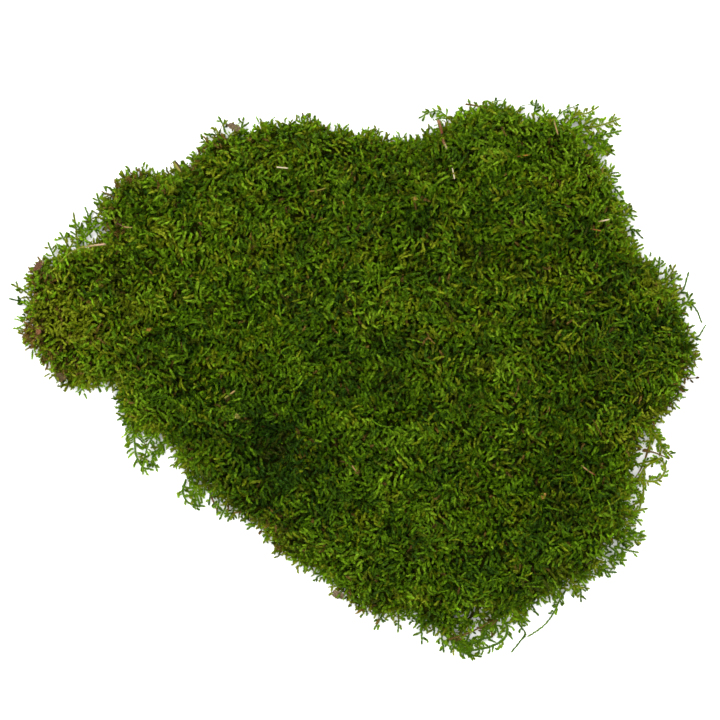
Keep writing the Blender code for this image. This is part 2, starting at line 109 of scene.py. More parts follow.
lamp_data = bpy.data.lights.new("softbox", "AREA")
lamp_data.shape = "DISK"
lamp_data.size = LAMP_SIZE
lamp_data.energy = LAMP_POWER
lamp = bpy.data.objects.new("softbox", lamp_data)
lamp.location = LAMP_PLACE
lamp.rotation_euler = (-Vector(LAMP_PLACE)).to_track_quat("-Z", "Y").to_euler()
bpy.context.collection.objects.link(lamp)

camera_data = bpy.data.cameras.new("camera")
camera_data.sensor_width = SENSOR_WIDTH
camera_data.lens = SENSOR_WIDTH * (CAMERA_HEIGHT - VIEW_LEVEL) / VIEW_WIDTH
camera = bpy.data.objects.new("camera", camera_data)
camera.location = (*VIEW_CENTRE, CAMERA_HEIGHT)
bpy.context.collection.objects.link(camera)
bpy.context.scene.camera = camera
bpy.context.scene.view_settings.view_transform = "Standard"


# ---------------------------------------------------------------- the thatch
# Under the green lies a felt of dead, brown stems, its top painted near black as painted shade.
# It is one closed body, flat where it parted from the ground and set in from the rim,
# so that only shoots reach the edge. Its top follows the solid mat a few mm lower.
CELL = 1.0 * MM
MARGIN = 6.0 * MM
THATCH_INSET = 4.0 * MM
THATCH_SINK = 5.4 * MM
THATCH_STEP = 2.4 * MM
THATCH_ROUGHNESS = 1.9 * MM
THATCH_SOLE = 0.3 * MM
THATCH_SLOPE = 6.0 * MM
THATCH_RIM_TOP = 2.0 * MM
THATCH_LEAST = 1.5 * MM
THATCH_LUMPS = 320.0
ABOVE_ALL = 0.1
JUST_INSIDE = 1.001
LEAST_COVER = 1e-3

mat_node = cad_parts["moss_mat"]
mat_tree = BVHTree.FromPolygons([v.co for v in mat_node.data.vertices],
                                [p.vertices for p in mat_node.data.polygons])
mat_low, mat_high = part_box("moss_mat")
grid_x = np.arange(mat_low.x - MARGIN, mat_high.x + MARGIN, CELL)
grid_y = np.arange(mat_low.y - MARGIN, mat_high.y + MARGIN, CELL)


def read_mat_top():
    """The height of the solid mat over a fine grid, and zero beside it."""
    top = np.zeros((len(grid_y), len(grid_x)))
    down = Vector((0.0, 0.0, -1.0))
    for j, y in enumerate(grid_y):
        for i, x in enumerate(grid_x):
            hit = mat_tree.ray_cast(Vector((x, y, ABOVE_ALL)), down)[0]
            if hit is not None:
                top[j, i] = hit.z
    return top


def blurred(values, radius):
    """A grid smoothed with a bell curve of the given radius."""
    reach = int(3.0 * radius / CELL)
    bell = np.exp(-0.5 * (np.arange(-reach, reach + 1) * CELL / radius) ** 2)
    bell /= bell.sum()
    for axis in (0, 1):
        values = np.apply_along_axis(np.convolve, axis, values, bell, mode="same")
    return values


def distance_from_rim(covered):
    """How far each grid point lies inside the mat's rim; negative outside."""
    beside = np.zeros_like(covered)
    beside[1:] |= covered[1:] != covered[:-1]
    beside[:, 1:] |= covered[:, 1:] != covered[:, :-1]
    rim_j, rim_i = np.nonzero(beside)
    rim = np.stack([grid_x[rim_i], grid_y[rim_j]], axis=1) - 0.5 * CELL
    distance = np.empty(covered.shape)
    for j, y in enumerate(grid_y):
        away = (grid_x[:, None] - rim[:, 0]) ** 2 + (y - rim[:, 1]) ** 2
        distance[j] = np.sqrt(away.min(axis=1))
    return np.where(covered, distance, -distance)


def at(grid, places):
    """A grid's value at each place in plan, read between its points."""
    u = np.clip((places[:, 0] - grid_x[0]) / CELL, 0.0, len(grid_x) - JUST_INSIDE)
    v = np.clip((places[:, 1] - grid_y[0]) / CELL, 0.0, len(grid_y) - JUST_INSIDE)
    i, j = u.astype(int), v.astype(int)
    fu, fv = u - i, v - j
    return ((grid[j, i] * (1 - fu) + grid[j, i + 1] * fu) * (1 - fv)
            + (grid[j + 1, i] * (1 - fu) + grid[j + 1, i + 1] * fu) * fv)


# Gaps near the rim through which the floor shows: middle and radius in mm
LIGHT_GAPS = [(-125.5, 72.0, 1.6), (-152.0, 59.5, 0.8), (-58.5, 118.0, 1.0), (26.0, -109.0, 1.3),
              (52.0, -116.0, 1.6), (63.0, -115.0, 1.2), (122.0, -86.5, 1.2), (130.0, -79.0, 0.9),
              (-78.0, -46.0, 0.8), (162.0, -1.0, 0.9)]


def gap_distance():
    """How far each grid point lies from the nearest light gap's edge."""
    away = [np.hypot(grid_x - x * MM, grid_y[:, None] - y * MM) - radius * MM
            for x, y, radius in LIGHT_GAPS]
    return np.min(away, axis=0)


def mean_top(radius):
    """The mat's height averaged over a radius, with the ground beside it left out."""
    cover = blurred(covered.astype(float), radius)
    return blurred(mat_top, radius) / np.maximum(cover, LEAST_COVER)


mat_top = read_mat_top()
covered = mat_top > 0.0
mat_swell = mean_top(2.5 * MM)
rim_depth = np.minimum(blurred(distance_from_rim(covered), 1.0 * MM), gap_distance())
inward_y, inward_x = np.gradient(rim_depth, CELL)


def lattice(step, shift, least_depth, rng):
    """Places in plan on a shaken lattice, no nearer to the rim than the least depth."""
    places = np.stack(np.meshgrid(np.arange(grid_x[0], grid_x[-1], step),
                                  np.arange(grid_y[0], grid_y[-1], step)), axis=2).reshape(-1, 2)
    places = places + rng.uniform(-shift, shift, places.shape) * step
    return places[at(rim_depth, places) > least_depth]


def lumps_at(places, scale):
    """Soft random lumps, from about -1 to 1, at each place in plan."""
    return np.array([noise.noise(Vector((x, y, 0.0)) * scale) for x, y in places])


def build_thatch():
    """The felt's mesh: a lumpy top, a flat sole and a wall round both."""
    rng = np.random.default_rng(5)
    inner = lattice(THATCH_STEP, 0.35, THATCH_INSET + 0.7 * THATCH_STEP, rng)
    edge = lattice(0.5 * THATCH_STEP, 0.1, THATCH_INSET - 2.0 * MM, rng)
    edge = edge[np.abs(at(rim_depth, edge) - THATCH_INSET) < 0.5 * THATCH_STEP]
    inward = np.stack([at(inward_x, edge), at(inward_y, edge)], axis=1)
    edge = edge + inward * (THATCH_INSET - at(rim_depth, edge))[:, None]
    plan = np.concatenate([inner, edge])
    points, _, triangles = delaunay_2d_cdt([Vector(p) for p in plan], [], [], 0, 1e-5)[:3]
    points = np.array([p[:] for p in points])
    triangles = np.array(triangles)
    middle = points[triangles].mean(axis=1)
    triangles = triangles[at(rim_depth, middle) > THATCH_INSET - 0.3 * MM]
    depth = at(rim_depth, points)
    sink = THATCH_SINK * np.clip((depth - THATCH_INSET) / THATCH_SLOPE, 0.25, 1.0)
    top = at(mat_swell, points) - sink + THATCH_ROUGHNESS * lumps_at(points, THATCH_LUMPS)
    top = np.maximum(np.where(depth < THATCH_INSET + 0.5 * MM, THATCH_RIM_TOP, top), THATCH_LEAST)
    count = len(points)
    verts = np.concatenate([np.c_[points, top], np.c_[points, np.full(count, THATCH_SOLE)]])
    edges = np.concatenate([triangles[:, [0, 1]], triangles[:, [1, 2]], triangles[:, [2, 0]]])
    pairs = {tuple(e) for e in edges.tolist()}
    wall = [(a, b) for a, b in pairs if (b, a) not in pairs]
    faces = triangles.tolist() + (triangles[:, ::-1] + count).tolist()
    faces += [(b, a, a + count, b + count) for a, b in wall]
    mesh = bpy.data.meshes.new("moss_thatch")
    mesh.from_pydata(verts.tolist(), [], faces)
    mesh.validate()
    return mesh


def connect(tree, socket, value):
    """Link another node's output to a socket, or set the socket to a plain value."""
    if isinstance(value, bpy.types.NodeSocket):
        tree.links.new(value, socket)
    else:
        socket.default_value = value


def add_node(tree, kind, **inputs):
    """A shader node with some of its inputs set or linked."""
    node = tree.nodes.new(f"ShaderNode{kind}")
    for label, value in inputs.items():
        connect(tree, node.inputs[label.replace("_", " ")], value)
    return node


def colour_ramp(tree, factor, stops):
    """The colour that a value picks from a ramp of (place, linear colour) stops."""
    ramp = add_node(tree, "ValToRGB", Fac=factor)
    ramp.color_ramp.interpolation = "LINEAR"
    elements = ramp.color_ramp.elements
    elements[0].position, elements[1].position = stops[0][0], stops[-1][0]
    elements[0].color, elements[1].color = (*stops[0][1], 1.0), (*stops[-1][1], 1.0)
    for place, colour in stops[1:-1]:
        elements.new(place).color = (*colour, 1.0)
    return ramp.outputs["Color"]


def ranged(tree, value, low, high, to_low=0.0, to_high=1.0):
    """A value moved from between two limits to between two others."""
    node = add_node(tree, "MapRange", Value=value, From_Min=low, From_Max=high, To_Min=to_low,
                    To_Max=to_high)
    return node.outputs["Result"]


def reckoned(tree, operation, *values):
    """The result of a math node, whose inputs are taken in order."""
    node = add_node(tree, "Math")
    node.operation = operation
    for socket, value in zip(node.inputs, values):
        connect(tree, socket, value)
    return node.outputs["Value"]


# A mix node has sockets for numbers and vectors too; these are the places of its colours
FIRST_COLOUR, SECOND_COLOUR, MIXED_COLOUR = 6, 7, 2


def mixed(tree, factor, first, second, way="MIX"):
    """Two colours mixed by a factor."""
    node = add_node(tree, "Mix")
    node.data_type, node.blend_type = "RGBA", way
    connect(tree, node.inputs["Factor"], factor)
    tree.links.new(first, node.inputs[FIRST_COLOUR])
    tree.links.new(second, node.inputs[SECOND_COLOUR])
    return node.outputs[MIXED_COLOUR]


def roughen(tree, shader, height, strength, distance):
    """Raise and sink a material's surface by a height that changes over it."""
    bump = add_node(tree, "Bump", Strength=strength, Distance=distance, Height=height)
    tree.links.new(bump.outputs["Normal"], shader.inputs["Normal"])


def place_piece(name, mesh, material, slot, *nodes):
    """A mesh as one piece on the root body, in place of the solids named."""
    mesh.materials.append(material)
    piece = bpy.data.objects.new(name, mesh)
    bpy.context.collection.objects.link(piece)
    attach(piece, "root")
    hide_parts(*nodes)


# The felt's top: dark green and brown fibre, painted near black as painted shade
THATCH_PAINTED_SHADE_TONES = [(0.30, (0.003, 0.003, 0.0003)), (0.45, (0.008, 0.011, 0.0005)),
                (0.58, (0.016, 0.020, 0.0010)), (0.66, (0.030, 0.017, 0.0040)),
                (0.80, (0.060, 0.032, 0.0080))]
SOLE_TONES = [(0.30, (0.008, 0.005, 0.002)), (0.50, (0.024, 0.015, 0.006)),
              (0.62, (0.050, 0.032, 0.014)), (0.80, (0.090, 0.062, 0.030))]
SOLE_TOP = 1.2 * MM
FELT_BOTTOM = 3.2 * MM
FIBRE_SCALE = 260.0


def thatch_finish():
    """Matted fibres: bare and brown below, painted near black above as shade, and mossy."""
    material, tree, shader = new_material("dead_stem_felt", Roughness=0.95, Specular_IOR_Level=0.0)
    where = add_node(tree, "TexCoord").outputs["Object"]
    felt = add_node(tree, "TexNoise", Vector=where, Scale=FIBRE_SCALE, Detail=6.0, Roughness=0.7,
                    Distortion=1.6).outputs["Fac"]
    height = add_node(tree, "SeparateXYZ", Vector=where).outputs["Z"]
    colour = mixed(tree, ranged(tree, height, SOLE_TOP, FELT_BOTTOM),
                   colour_ramp(tree, felt, SOLE_TONES), colour_ramp(tree, felt, THATCH_PAINTED_SHADE_TONES))
    tree.links.new(colour, shader.inputs["Base Color"])
    roughen(tree, shader, felt, strength=0.8, distance=0.8 * MM)
    return material


place_piece("moss_thatch", build_thatch(), thatch_finish(), "moss", "moss_mat")


# ---------------------------------------------------------------- the leafy shoots
# The green of the clump: thousands of shoots, each a thin stem hidden by small pointed,
# keeled leaves that overlap like tiles. They grow in sprays, side by side along creeping
# stems, and their tips reach the solid mat's top. Deeper leaves are older and browner, and are
# also painted darker as shade: low on each shoot and in the lower layers of shoots.
LEAF_LENGTH = 2.65 * MM
LEAF_WIDTH = 1.16 * MM
LEAF_SPREAD = math.radians(31.0)
GOLDEN_ANGLE = math.radians(137.5)
SPRAY_STEP = 5.10 * MM
BRANCH_STEP = 1.6 * MM
MOST_BRANCHES = 14
LEAVES = 13
SPRAY_GRAIN = 0.22
SPRAY_REACH_MM = (11.0, 23.0)
SPRAY_CURL = 0.030
SHOOT_LENGTH_MM = (4.6, 7.6)
DEEPEST_LAYER_MM = 3.8
SHOOT_LEAN = (8.0, 50.0)
UPRIGHT_SHARE, UPRIGHT_LEAN = 0.12, 22.0
SHOOT_OPENING = (40.0, 72.0)
SHOOT_SHADE = 0.525
SPRAY_SHADE_SPREAD = 0.22
SHOOT_SHADE_SPREAD = 0.075
# Painted shade: how much darker each mm of depth makes a shoot
LAYER_PAINTED_SHADE = 0.055
DEAD_SHRINK = 0.80
TONE_BLEED = 0.004
LEAF_TONE_SPREAD = 0.003
REGIONS = 6
LEAST_HEIGHT = 0.15 * MM
LEAFY_SHARE = 0.95
LEAF_SHAKE = 0.25
TURN_SHAKE = 0.4
BELLY_PLACE = 0.42
POINT_CURL = 0.12
KEEL_DEPTH = 0.24
TIP_OVERHANG = 0.4 * MM
BOW_SPREAD = 0.09

# The tone map runs from dead brown through olive, green and fresh green, each dark to pale
DEAD_FROM, DEAD_TO = 0.010, 0.09
OLIVE_FROM, OLIVE_WIDE = 0.12, 0.30
GREEN_FROM, GREEN_WIDE = 0.46, 0.38
FRESH_FROM, FRESH_WIDE = 0.88, 0.11
SHOOT_TONES = [
    (0.00, (0.018, 0.010, 0.002)), (0.09, (0.142, 0.092, 0.017)),
    (0.12, (0.015, 0.021, 0.0005)), (0.22, (0.043, 0.063, 0.001)),
    (0.32, (0.094, 0.128, 0.001)), (0.43, (0.190, 0.235, 0.010)),
    (0.455, (0.008, 0.028, 0.0005)), (0.58, (0.029, 0.071, 0.001)),
    (0.70, (0.066, 0.139, 0.001)), (0.85, (0.150, 0.256, 0.009)),
    (0.875, (0.007, 0.024, 0.0005)), (0.94, (0.050, 0.116, 0.0008)), (1.00, (0.185, 0.350, 0.006)),
]
# Along each shoot, base to tip: painted shade low down, painted light at the tip; the older leaves below
# are also a little browner
TIP_LIGHT = [(0.0, (0.47, 0.43, 0.30)), (0.35, (0.75, 0.74, 0.67)), (0.8, (1.0, 1.0, 1.0)),
             (1.0, (1.18, 1.16, 1.04))]
LEAF_GAIN = 1.05

# Where the shoots are paler or darker than elsewhere: place and spread in mm, change of shade
SHADE_PATCHES = [
    (-150.0, 30.0, 34.0, 0.34), (-70.0, 80.0, 40.0, 0.08), (90.0, 110.0, 36.0, 0.12),
    (50.0, 120.0, 16.0, 0.04), (110.0, -60.0, 40.0, -0.17), (10.0, -20.0, 45.0, -0.01),
    (-45.0, -45.0, 34.0, -0.28), (130.0, 15.0, 34.0, -0.20), (60.0, -105.0, 30.0, -0.12),
]
# Painted light and shade: shoots on hummocks paler, in hollows darker, by the mat's rise over its
# surroundings
RISE_PAINTED_LIGHT_SHADE = 0.024 / MM
MOST_RISE_PAINTED_LIGHT_SHADE = 0.11
# Painted light: shoots near the rim paler, for the light that the thin fringe catches from the side
RIM_PAINTED_LIGHT = 0.26
RIM_PAINTED_LIGHT_DEPTH = 13.0 * MM

# Where they are olive rather than green, and where dead: place and spread in mm, share
OLIVE_PATCHES = [
    (-150.0, 30.0, 34.0, 0.55), (-112.0, 40.0, 20.0, 0.15), (130.0, 15.0, 34.0, 0.20),
    (70.0, 30.0, 30.0, 0.10), (-40.0, 95.0, 26.0, 0.10), (20.0, -20.0, 34.0, -0.10),
    (-30.0, 0.0, 34.0, -0.10), (60.0, -105.0, 30.0, -0.16), (110.0, -60.0, 30.0, 0.08),
    (-60.0, -72.0, 12.0, 0.50), (140.0, -20.0, 14.0, 0.30), (-42.0, -83.0, 10.0, 0.45),
    (90.0, 105.0, 34.0, -0.10),
]
DEAD_PATCHES = [
    (-163.0, 24.0, 9.0, 0.70), (-152.0, 6.0, 8.0, 0.40), (-162.0, 52.0, 7.0, 0.42),
    (-127.0, 76.0, 5.0, 0.40), (-82.0, 114.0, 8.0, 0.20), (-8.0, -106.0, 5.0, 0.35),
    (-66.0, -8.0, 5.0, 0.20), (-150.0, 34.0, 24.0, 0.09), (-119.5, 75.0, 3.5, 0.70),
    (-113.0, 103.0, 4.5, 0.50), (-120.0, 97.0, 3.5, 0.50), (-64.0, -69.0, 6.0, 0.16),
    (-48.0, -80.0, 5.0, 0.14), (148.0, -34.0, 4.0, 0.25), (96.0, 96.0, 3.0, 0.45),
    (-71.0, 119.0, 5.0, 0.30), (-53.0, 118.0, 4.0, 0.28), (10.0, 112.0, 6.0, 0.12),
    (-5.0, 105.0, 7.0, 0.07), (-95.0, 92.0, 9.0, 0.07), (-32.0, 84.0, 8.0, 0.06),
    (-44.0, -81.0, 7.0, 0.18), (-14.0, -78.0, 7.0, 0.12), (166.0, 4.0, 5.0, 0.38),
    (163.0, -8.0, 5.0, 0.42), (164.0, 32.0, 4.0, 0.28), (153.5, 38.0, 4.0, 0.20),
]
OLIVE_SHARE = 0.24
DEAD_SHARE = 0.020
SHADE_DRIFT = 0.26
OLIVE_DRIFT = 0.34
FRESH_SHARE = 0.04
FRESH_RIM_SHARE = 0.34
FRESH_RIM = 9.0 * MM
OLIVE_RIM_SHARE = 0.10
DEAD_RIM_PALE = 0.03
SHADE_LIMITS = (0.03, 0.90)
ODD_SHARE = 0.3


def unit(vectors):
    """Vectors made one long."""
    return vectors / np.maximum(np.linalg.norm(vectors, axis=-1, keepdims=True), 1e-12)


def patches(places, table):
    """The sum of soft round patches at each place in plan."""
    total = np.zeros(len(places))
    for x, y, spread, change in table:
        away = ((places[:, 0] / MM - x) ** 2 + (places[:, 1] / MM - y) ** 2) / spread ** 2
        total += change * np.exp(-away)
    return total


def drift(x, y):
    """Slow and quick random changes of tone over the mat."""
    return noise.noise(Vector((x, y, 0.0)) * 85.0) + 0.9 * noise.noise(Vector((x, y, 1.0)) * 260.0)


# How far the mat rises above its surroundings, for the painted light on hummocks and painted shade in
# hollows
mat_rise = (mat_swell - mean_top(16.0 * MM)) * np.clip(rim_depth / (14.0 * MM), 0.0, 1.0)
tone_drift = np.array([[drift(x, y) for x in grid_x] for y in grid_y])


def leafy(base, tip, bow, leaves, size, tone, rng, tip_light_range=(0.02, 0.94), leaf_spread=LEAF_SPREAD):
    """Leaves along bowed lines from base to tip: vertices, triangles and tone-map places.

    Each leaf is a diamond of two triangles, creased along its middle. The stem they hide isn't
    built here. tip_light_range is how far up the ramp of painted shade and light the lowest
    and the highest leaves start.
    """
    count = len(base)
    t = (np.arange(leaves) + 0.5) / leaves * LEAFY_SHARE
    t = t[None, :, None] + rng.uniform(-LEAF_SHAKE, LEAF_SHAKE, (count, leaves, 1)) / leaves
    run = (tip - base)[:, None, :]
    foot = base[:, None, :] + run * t + bow[:, None, :] * (4.0 * t * (1.0 - t))
    along = unit(run + bow[:, None, :] * (4.0 - 8.0 * t))
    upright = np.array([0.0, 0.0, 1.0]) + 0.05 * rng.normal(size=(count, 1, 3))
    side = unit(np.cross(along, upright))
    over = np.cross(side, along)
    turn = rng.uniform(0.0, math.tau, (count, 1, 1)) + GOLDEN_ANGLE * np.arange(leaves)[None, :, None]
    turn = turn + rng.uniform(-TURN_SHAKE, TURN_SHAKE, turn.shape)
    out = side * np.cos(turn) + over * np.sin(turn)
    spread = leaf_spread * (1.1 - 0.75 * t) * rng.uniform(0.7, 1.25, t.shape)
    ahead = along * np.cos(spread) + out * np.sin(spread)
    across = unit(np.cross(ahead, out))
    keel = np.cross(across, ahead)
    fullness = 0.55 + 0.55 * np.sin(math.pi * np.clip(0.2 + 0.72 * t, 0.0, 1.0)) ** 0.8
    grown = size[:, None, None] * fullness * rng.uniform(0.8, 1.15, t.shape)
    length, half = LEAF_LENGTH * grown, 0.5 * LEAF_WIDTH * grown
    ahead_of_foot = np.linalg.norm(tip - base, axis=1)[:, None, None] * (1.04 - t)
    length = np.minimum(length, ahead_of_foot + TIP_OVERHANG)
    point = foot + length * ahead - POINT_CURL * length * out
    belly = foot + BELLY_PLACE * length * ahead
    left = belly + half * across - KEEL_DEPTH * half * keel
    right = belly - half * across - KEEL_DEPTH * half * keel
    verts = np.stack([foot, right, point, left], axis=2).reshape(-1, 3)
    verts[:, 2] = np.maximum(verts[:, 2], LEAST_HEIGHT)
    u = tone[:, None, None] + LEAF_TONE_SPREAD * rng.normal(size=t.shape)
    u = u + TONE_BLEED * np.array([0.0, 1.0, 0.0, -1.0])
    # Painted shade and light along the shoot: each leaf sits higher up the tip light ramp nearer the tip,
    # its point a little higher still
    v = tip_light_range[0] + (tip_light_range[1] - tip_light_range[0]) * t + 0.05 * np.array([0.0, 0.5, 1.0, 0.5])
    uv = np.stack([np.clip(u, 0.004, 0.996), np.clip(v, 0.01, 0.99)], axis=3).reshape(-1, 2)
    corners = np.arange(len(verts) // 4)[:, None] * 4 + np.array([0, 1, 2, 0, 2, 3])
    return verts, corners.reshape(-1, 3), uv


def joined(*parts):
    """Several sets of vertices, triangles and tone-map places as one."""
    counts = np.cumsum([0] + [len(part[0]) for part in parts])
    return (np.concatenate([part[0] for part in parts]),
            np.concatenate([part[1] + start for part, start in zip(parts, counts)]),
            np.concatenate([part[2] for part in parts]))


def plan_way(angle):
    """Unit vectors in plan for angles from +X."""
    return np.stack([np.cos(angle), np.sin(angle)], axis=1)


def olive_tone(shade):
    """The place on the tone map of an olive shoot, from 0 dark to 1 pale."""
    return OLIVE_FROM + OLIVE_WIDE * shade


def green_tone(shade):
    """The same for a green shoot."""
    return GREEN_FROM + GREEN_WIDE * shade


def fresh_tone(shade):
    """The same for a fresh green shoot."""
    return FRESH_FROM + FRESH_WIDE * shade


def tone_of(places, shade, kind, rng):
    """A place on the tone map for each shoot: dead brown, olive, green or fresh green.

    Shoots of one spray share their kind, a number from 0 to 1, and so mostly their hue.
    """
    count = len(shade)
    # Painted light on the hummocks, painted shade in the hollows
    rise = np.clip(RISE_PAINTED_LIGHT_SHADE * at(mat_rise, places), -MOST_RISE_PAINTED_LIGHT_SHADE, MOST_RISE_PAINTED_LIGHT_SHADE)
    # Painted light: shoots paler near the rim
    edge = RIM_PAINTED_LIGHT * np.clip(1.0 - at(rim_depth, places) / RIM_PAINTED_LIGHT_DEPTH, 0.0, 1.0)
    shade = shade + rise + edge + patches(places, SHADE_PATCHES) + SHADE_DRIFT * at(tone_drift, places)
    shade = np.clip(shade, *SHADE_LIMITS)
    near_rim = np.clip(1.0 - at(rim_depth, places) / FRESH_RIM, 0.0, 1.0)
    olive = OLIVE_SHARE + patches(places, OLIVE_PATCHES) + OLIVE_DRIFT * at(tone_drift, places[:, ::-1])
    olive = olive + OLIVE_RIM_SHARE * near_rim
    kind = np.where(rng.uniform(size=count) < ODD_SHARE, rng.uniform(size=count), kind)
    tone = np.where(kind < olive, olive_tone(shade), green_tone(shade))
    fresh = kind > 1.0 - FRESH_SHARE - FRESH_RIM_SHARE * near_rim
    tone = np.where(fresh, fresh_tone(shade), tone)
    dead = rng.uniform(size=count) < DEAD_SHARE + patches(places, DEAD_PATCHES)
    dead_tone = rng.uniform(DEAD_FROM, DEAD_TO - 0.01, count) + DEAD_RIM_PALE * near_rim
    return np.where(dead, np.minimum(dead_tone, DEAD_TO - 0.003), tone)


def grow_sprays(rng):
    """Base, tip, bow, size and tone of every shoot in the sprays over the whole mat."""
    start = lattice(SPRAY_STEP, 0.5, 2.0 * MM, rng)
    count = len(start)
    heading = rng.uniform(0.0, math.tau, count)
    heading = np.arctan2(SPRAY_GRAIN * np.sin(heading), np.cos(heading))
    reach = rng.uniform(*SPRAY_REACH_MM, count) * MM
    curl = rng.normal(0.0, SPRAY_CURL, count) / MM
    layer = rng.uniform(0.0, 1.0, count) ** 2.2 * DEEPEST_LAYER_MM * MM
    lean = rng.uniform(*SHOOT_LEAN, count) + UPRIGHT_LEAN * (rng.uniform(size=count) < UPRIGHT_SHARE)
    opening = rng.uniform(*SHOOT_OPENING, count)
    girth = rng.uniform(0.88, 1.15, count)
    spray_shade = rng.normal(0.0, SPRAY_SHADE_SPREAD, count)
    kind = rng.uniform(size=count)
    shoots = []
    for k in range(MOST_BRANCHES):
        along = (k + 0.7) * BRANCH_STEP
        share = along / reach
        stem = start + along * plan_way(heading + 0.5 * curl * along)
        stem = stem - 0.5 * reach[:, None] * plan_way(heading)
        turn = np.radians(opening + rng.normal(0.0, 8.0, count)) * (1.0 if k % 2 else -1.0)
        length = rng.uniform(*SHOOT_LENGTH_MM, count) * MM * (1.12 - 0.45 * share)
        steep = np.radians(np.clip(lean + rng.normal(0.0, 9.0, count), 2.0, 80.0))
        end = stem + (length * np.cos(steep))[:, None] * plan_way(heading + curl * along + turn)
        tip_z = at(mat_top, end) - rng.uniform(0.0, 1.0, count) ** 1.6 * 1.5 * MM - layer
        base = np.c_[stem, tip_z - length * np.sin(steep)]
        tip = np.c_[end, tip_z]
        bow = rng.normal(0.0, BOW_SPREAD, (count, 3)) * length[:, None]
        bow[:, 2] = rng.uniform(0.02, 0.14, count) * length
        shade = SHOOT_SHADE + spray_shade + rng.normal(0.0, SHOOT_SHADE_SPREAD, count)
        # Painted shade: shoots in the lower layers are painted darker
        shade = shade - LAYER_PAINTED_SHADE * layer / MM
        tone = tone_of(end, shade, kind, rng)
        dead = tone < DEAD_TO
        size = girth * rng.uniform(0.9, 1.1, count) * np.where(dead, DEAD_SHRINK, 1.0)
        base = np.where(dead[:, None], 0.7 * base + 0.3 * tip, base)
        grows = (along < reach) & (tip_z > 1.5 * MM)
        grows &= (at(rim_depth, stem) > 1.0 * MM) & (at(rim_depth, end) > -0.8 * MM)
        shoots.append([part[grows] for part in (base, tip, bow, size, tone)])
    return [np.concatenate(parts) for parts in zip(*shoots)]


def new_group(name, inputs, outputs):
    """A node group with the given sockets, and the sockets on its inside."""
    group = bpy.data.node_groups.new(name, "ShaderNodeTree")
    for way, sockets in (("INPUT", inputs), ("OUTPUT", outputs)):
        for label, kind in sockets:
            group.interface.new_socket(label, in_out=way, socket_type=f"NodeSocket{kind}")
    return group, group.nodes.new("NodeGroupInput").outputs, group.nodes.new("NodeGroupOutput").inputs


def scaled_colour(tree, colour, factor):
    """A colour made lighter or darker by a factor."""
    node = add_node(tree, "VectorMath")
    node.operation = "SCALE"
    tree.links.new(colour, node.inputs[0])
    tree.links.new(factor, node.inputs["Scale"])
    return node.outputs["Vector"]


def tone_group():
    """Node group: a tone map colour, across it by tone, up it by painted shade to light, base to tip."""
    group, enter, leave = new_group("moss_tones", [("Place", "Vector")],
                                    [("Color", "Color"), ("Roughness", "Float")])
    parts = add_node(group, "SeparateXYZ", Vector=enter["Place"])
    tone = colour_ramp(group, parts.outputs["X"], SHOOT_TONES)
    light = colour_ramp(group, parts.outputs["Y"], TIP_LIGHT)
    fleck = add_node(group, "TexNoise", Vector=enter["Place"], Scale=34.0, Detail=4.0)
    fleck_light = ranged(group, fleck.outputs["Fac"], 0.3, 0.7, 0.95 * LEAF_GAIN, 1.05 * LEAF_GAIN)
    lit = mixed(group, 1.0, tone, light, "MULTIPLY")
    group.links.new(scaled_colour(group, lit, fleck_light), leave["Color"])
    group.links.new(ranged(group, parts.outputs["Y"], 0.0, 1.0, 0.75, 0.50), leave["Roughness"])
    return group


moss_tones = tone_group()


def map_place(tree, layer):
    """The place on one of a mesh's UV maps."""
    node = add_node(tree, "UVMap")
    node.uv_map = layer
    return node.outputs["UV"]


def coat(tree, shader, group, **inputs):
    """Place a node group that gives a shader its colour and its roughness."""
    node = add_node(tree, "Group")
    node.node_tree = group
    for label, value in inputs.items():
        connect(tree, node.inputs[label], value)
    for label, socket in (("Color", "Base Color"), ("Roughness", "Roughness")):
        tree.links.new(node.outputs[label], shader.inputs[socket])
    return node


def shoot_finish(name):
    """Leaf material: its colour and roughness come from the leaf's place on the tone map."""
    material, tree, shader = new_material(
        name, Specular_IOR_Level=0.06, Subsurface_Weight=0.6, Subsurface_Radius=(0.8, 1.0, 0.3),
        Subsurface_Scale=0.8 * MM)
    coat(tree, shader, moss_tones, Place=map_place(tree, "OFBake"))
    return material


def moss_piece(name, verts, triangles, uv, slot, *nodes):
    """One mesh of leaves and stems on the root body, in place of the solids named."""
    mesh = bpy.data.meshes.new(name)
    mesh.vertices.add(len(verts))
    mesh.vertices.foreach_set("co", verts.astype(np.float32).ravel())
    corners = triangles.reshape(-1).astype(np.int32)
    mesh.loops.add(len(corners))
    mesh.loops.foreach_set("vertex_index", corners)
    mesh.polygons.add(len(triangles))
    mesh.polygons.foreach_set("loop_start", np.arange(0, len(corners), 3, dtype=np.int32))
    layer = mesh.uv_layers.new(name="OFBake")
    layer.data.foreach_set("uv", uv[corners].astype(np.float32).ravel())
    mesh.update(calc_edges=True)
    place_piece(name, mesh, shoot_leaves, slot, *nodes)


def moss_pieces(name, regions, leaves, shoots, rng):
    """Shoots as several pieces of the mat, side by side from left to right."""
    base, tip, bow, size, tone = shoots
    order = np.argsort(base[:, 0])
    for number, members in enumerate(np.array_split(order, regions), start=1):
        parts = leafy(base[members], tip[members], bow[members], leaves, size[members],
                      tone[members], rng)
        moss_piece(f"{name}_{number}", *parts, "moss", "moss_mat")


shoot_leaves = shoot_finish("moss_leaves")
rng = np.random.default_rng(21)
moss_pieces("moss_shoots", REGIONS, LEAVES, grow_sprays(rng), rng)


# ---------------------------------------------------------------- the rim
# Round the rim the sprays grow outwards and droop to the ground in several layers.
# No thatch lies under the outermost of them, so light gaps show between them.
RIM_SPRAY_STEP = 2.35 * MM
RIM_WIDTH = 10.5 * MM
RIM_LEAVES = 12
RIM_REGIONS = 2
RIM_CURL = 0.035
RIM_SHADE_MIDDLE = 0.52
RIM_SPRAY_SHADE_SPREAD = 0.14
RIM_OVERHANG = 4.5 * MM
LOWEST_SHOOT = 0.9 * MM
EDGE_CEILING = 5.5 * MM


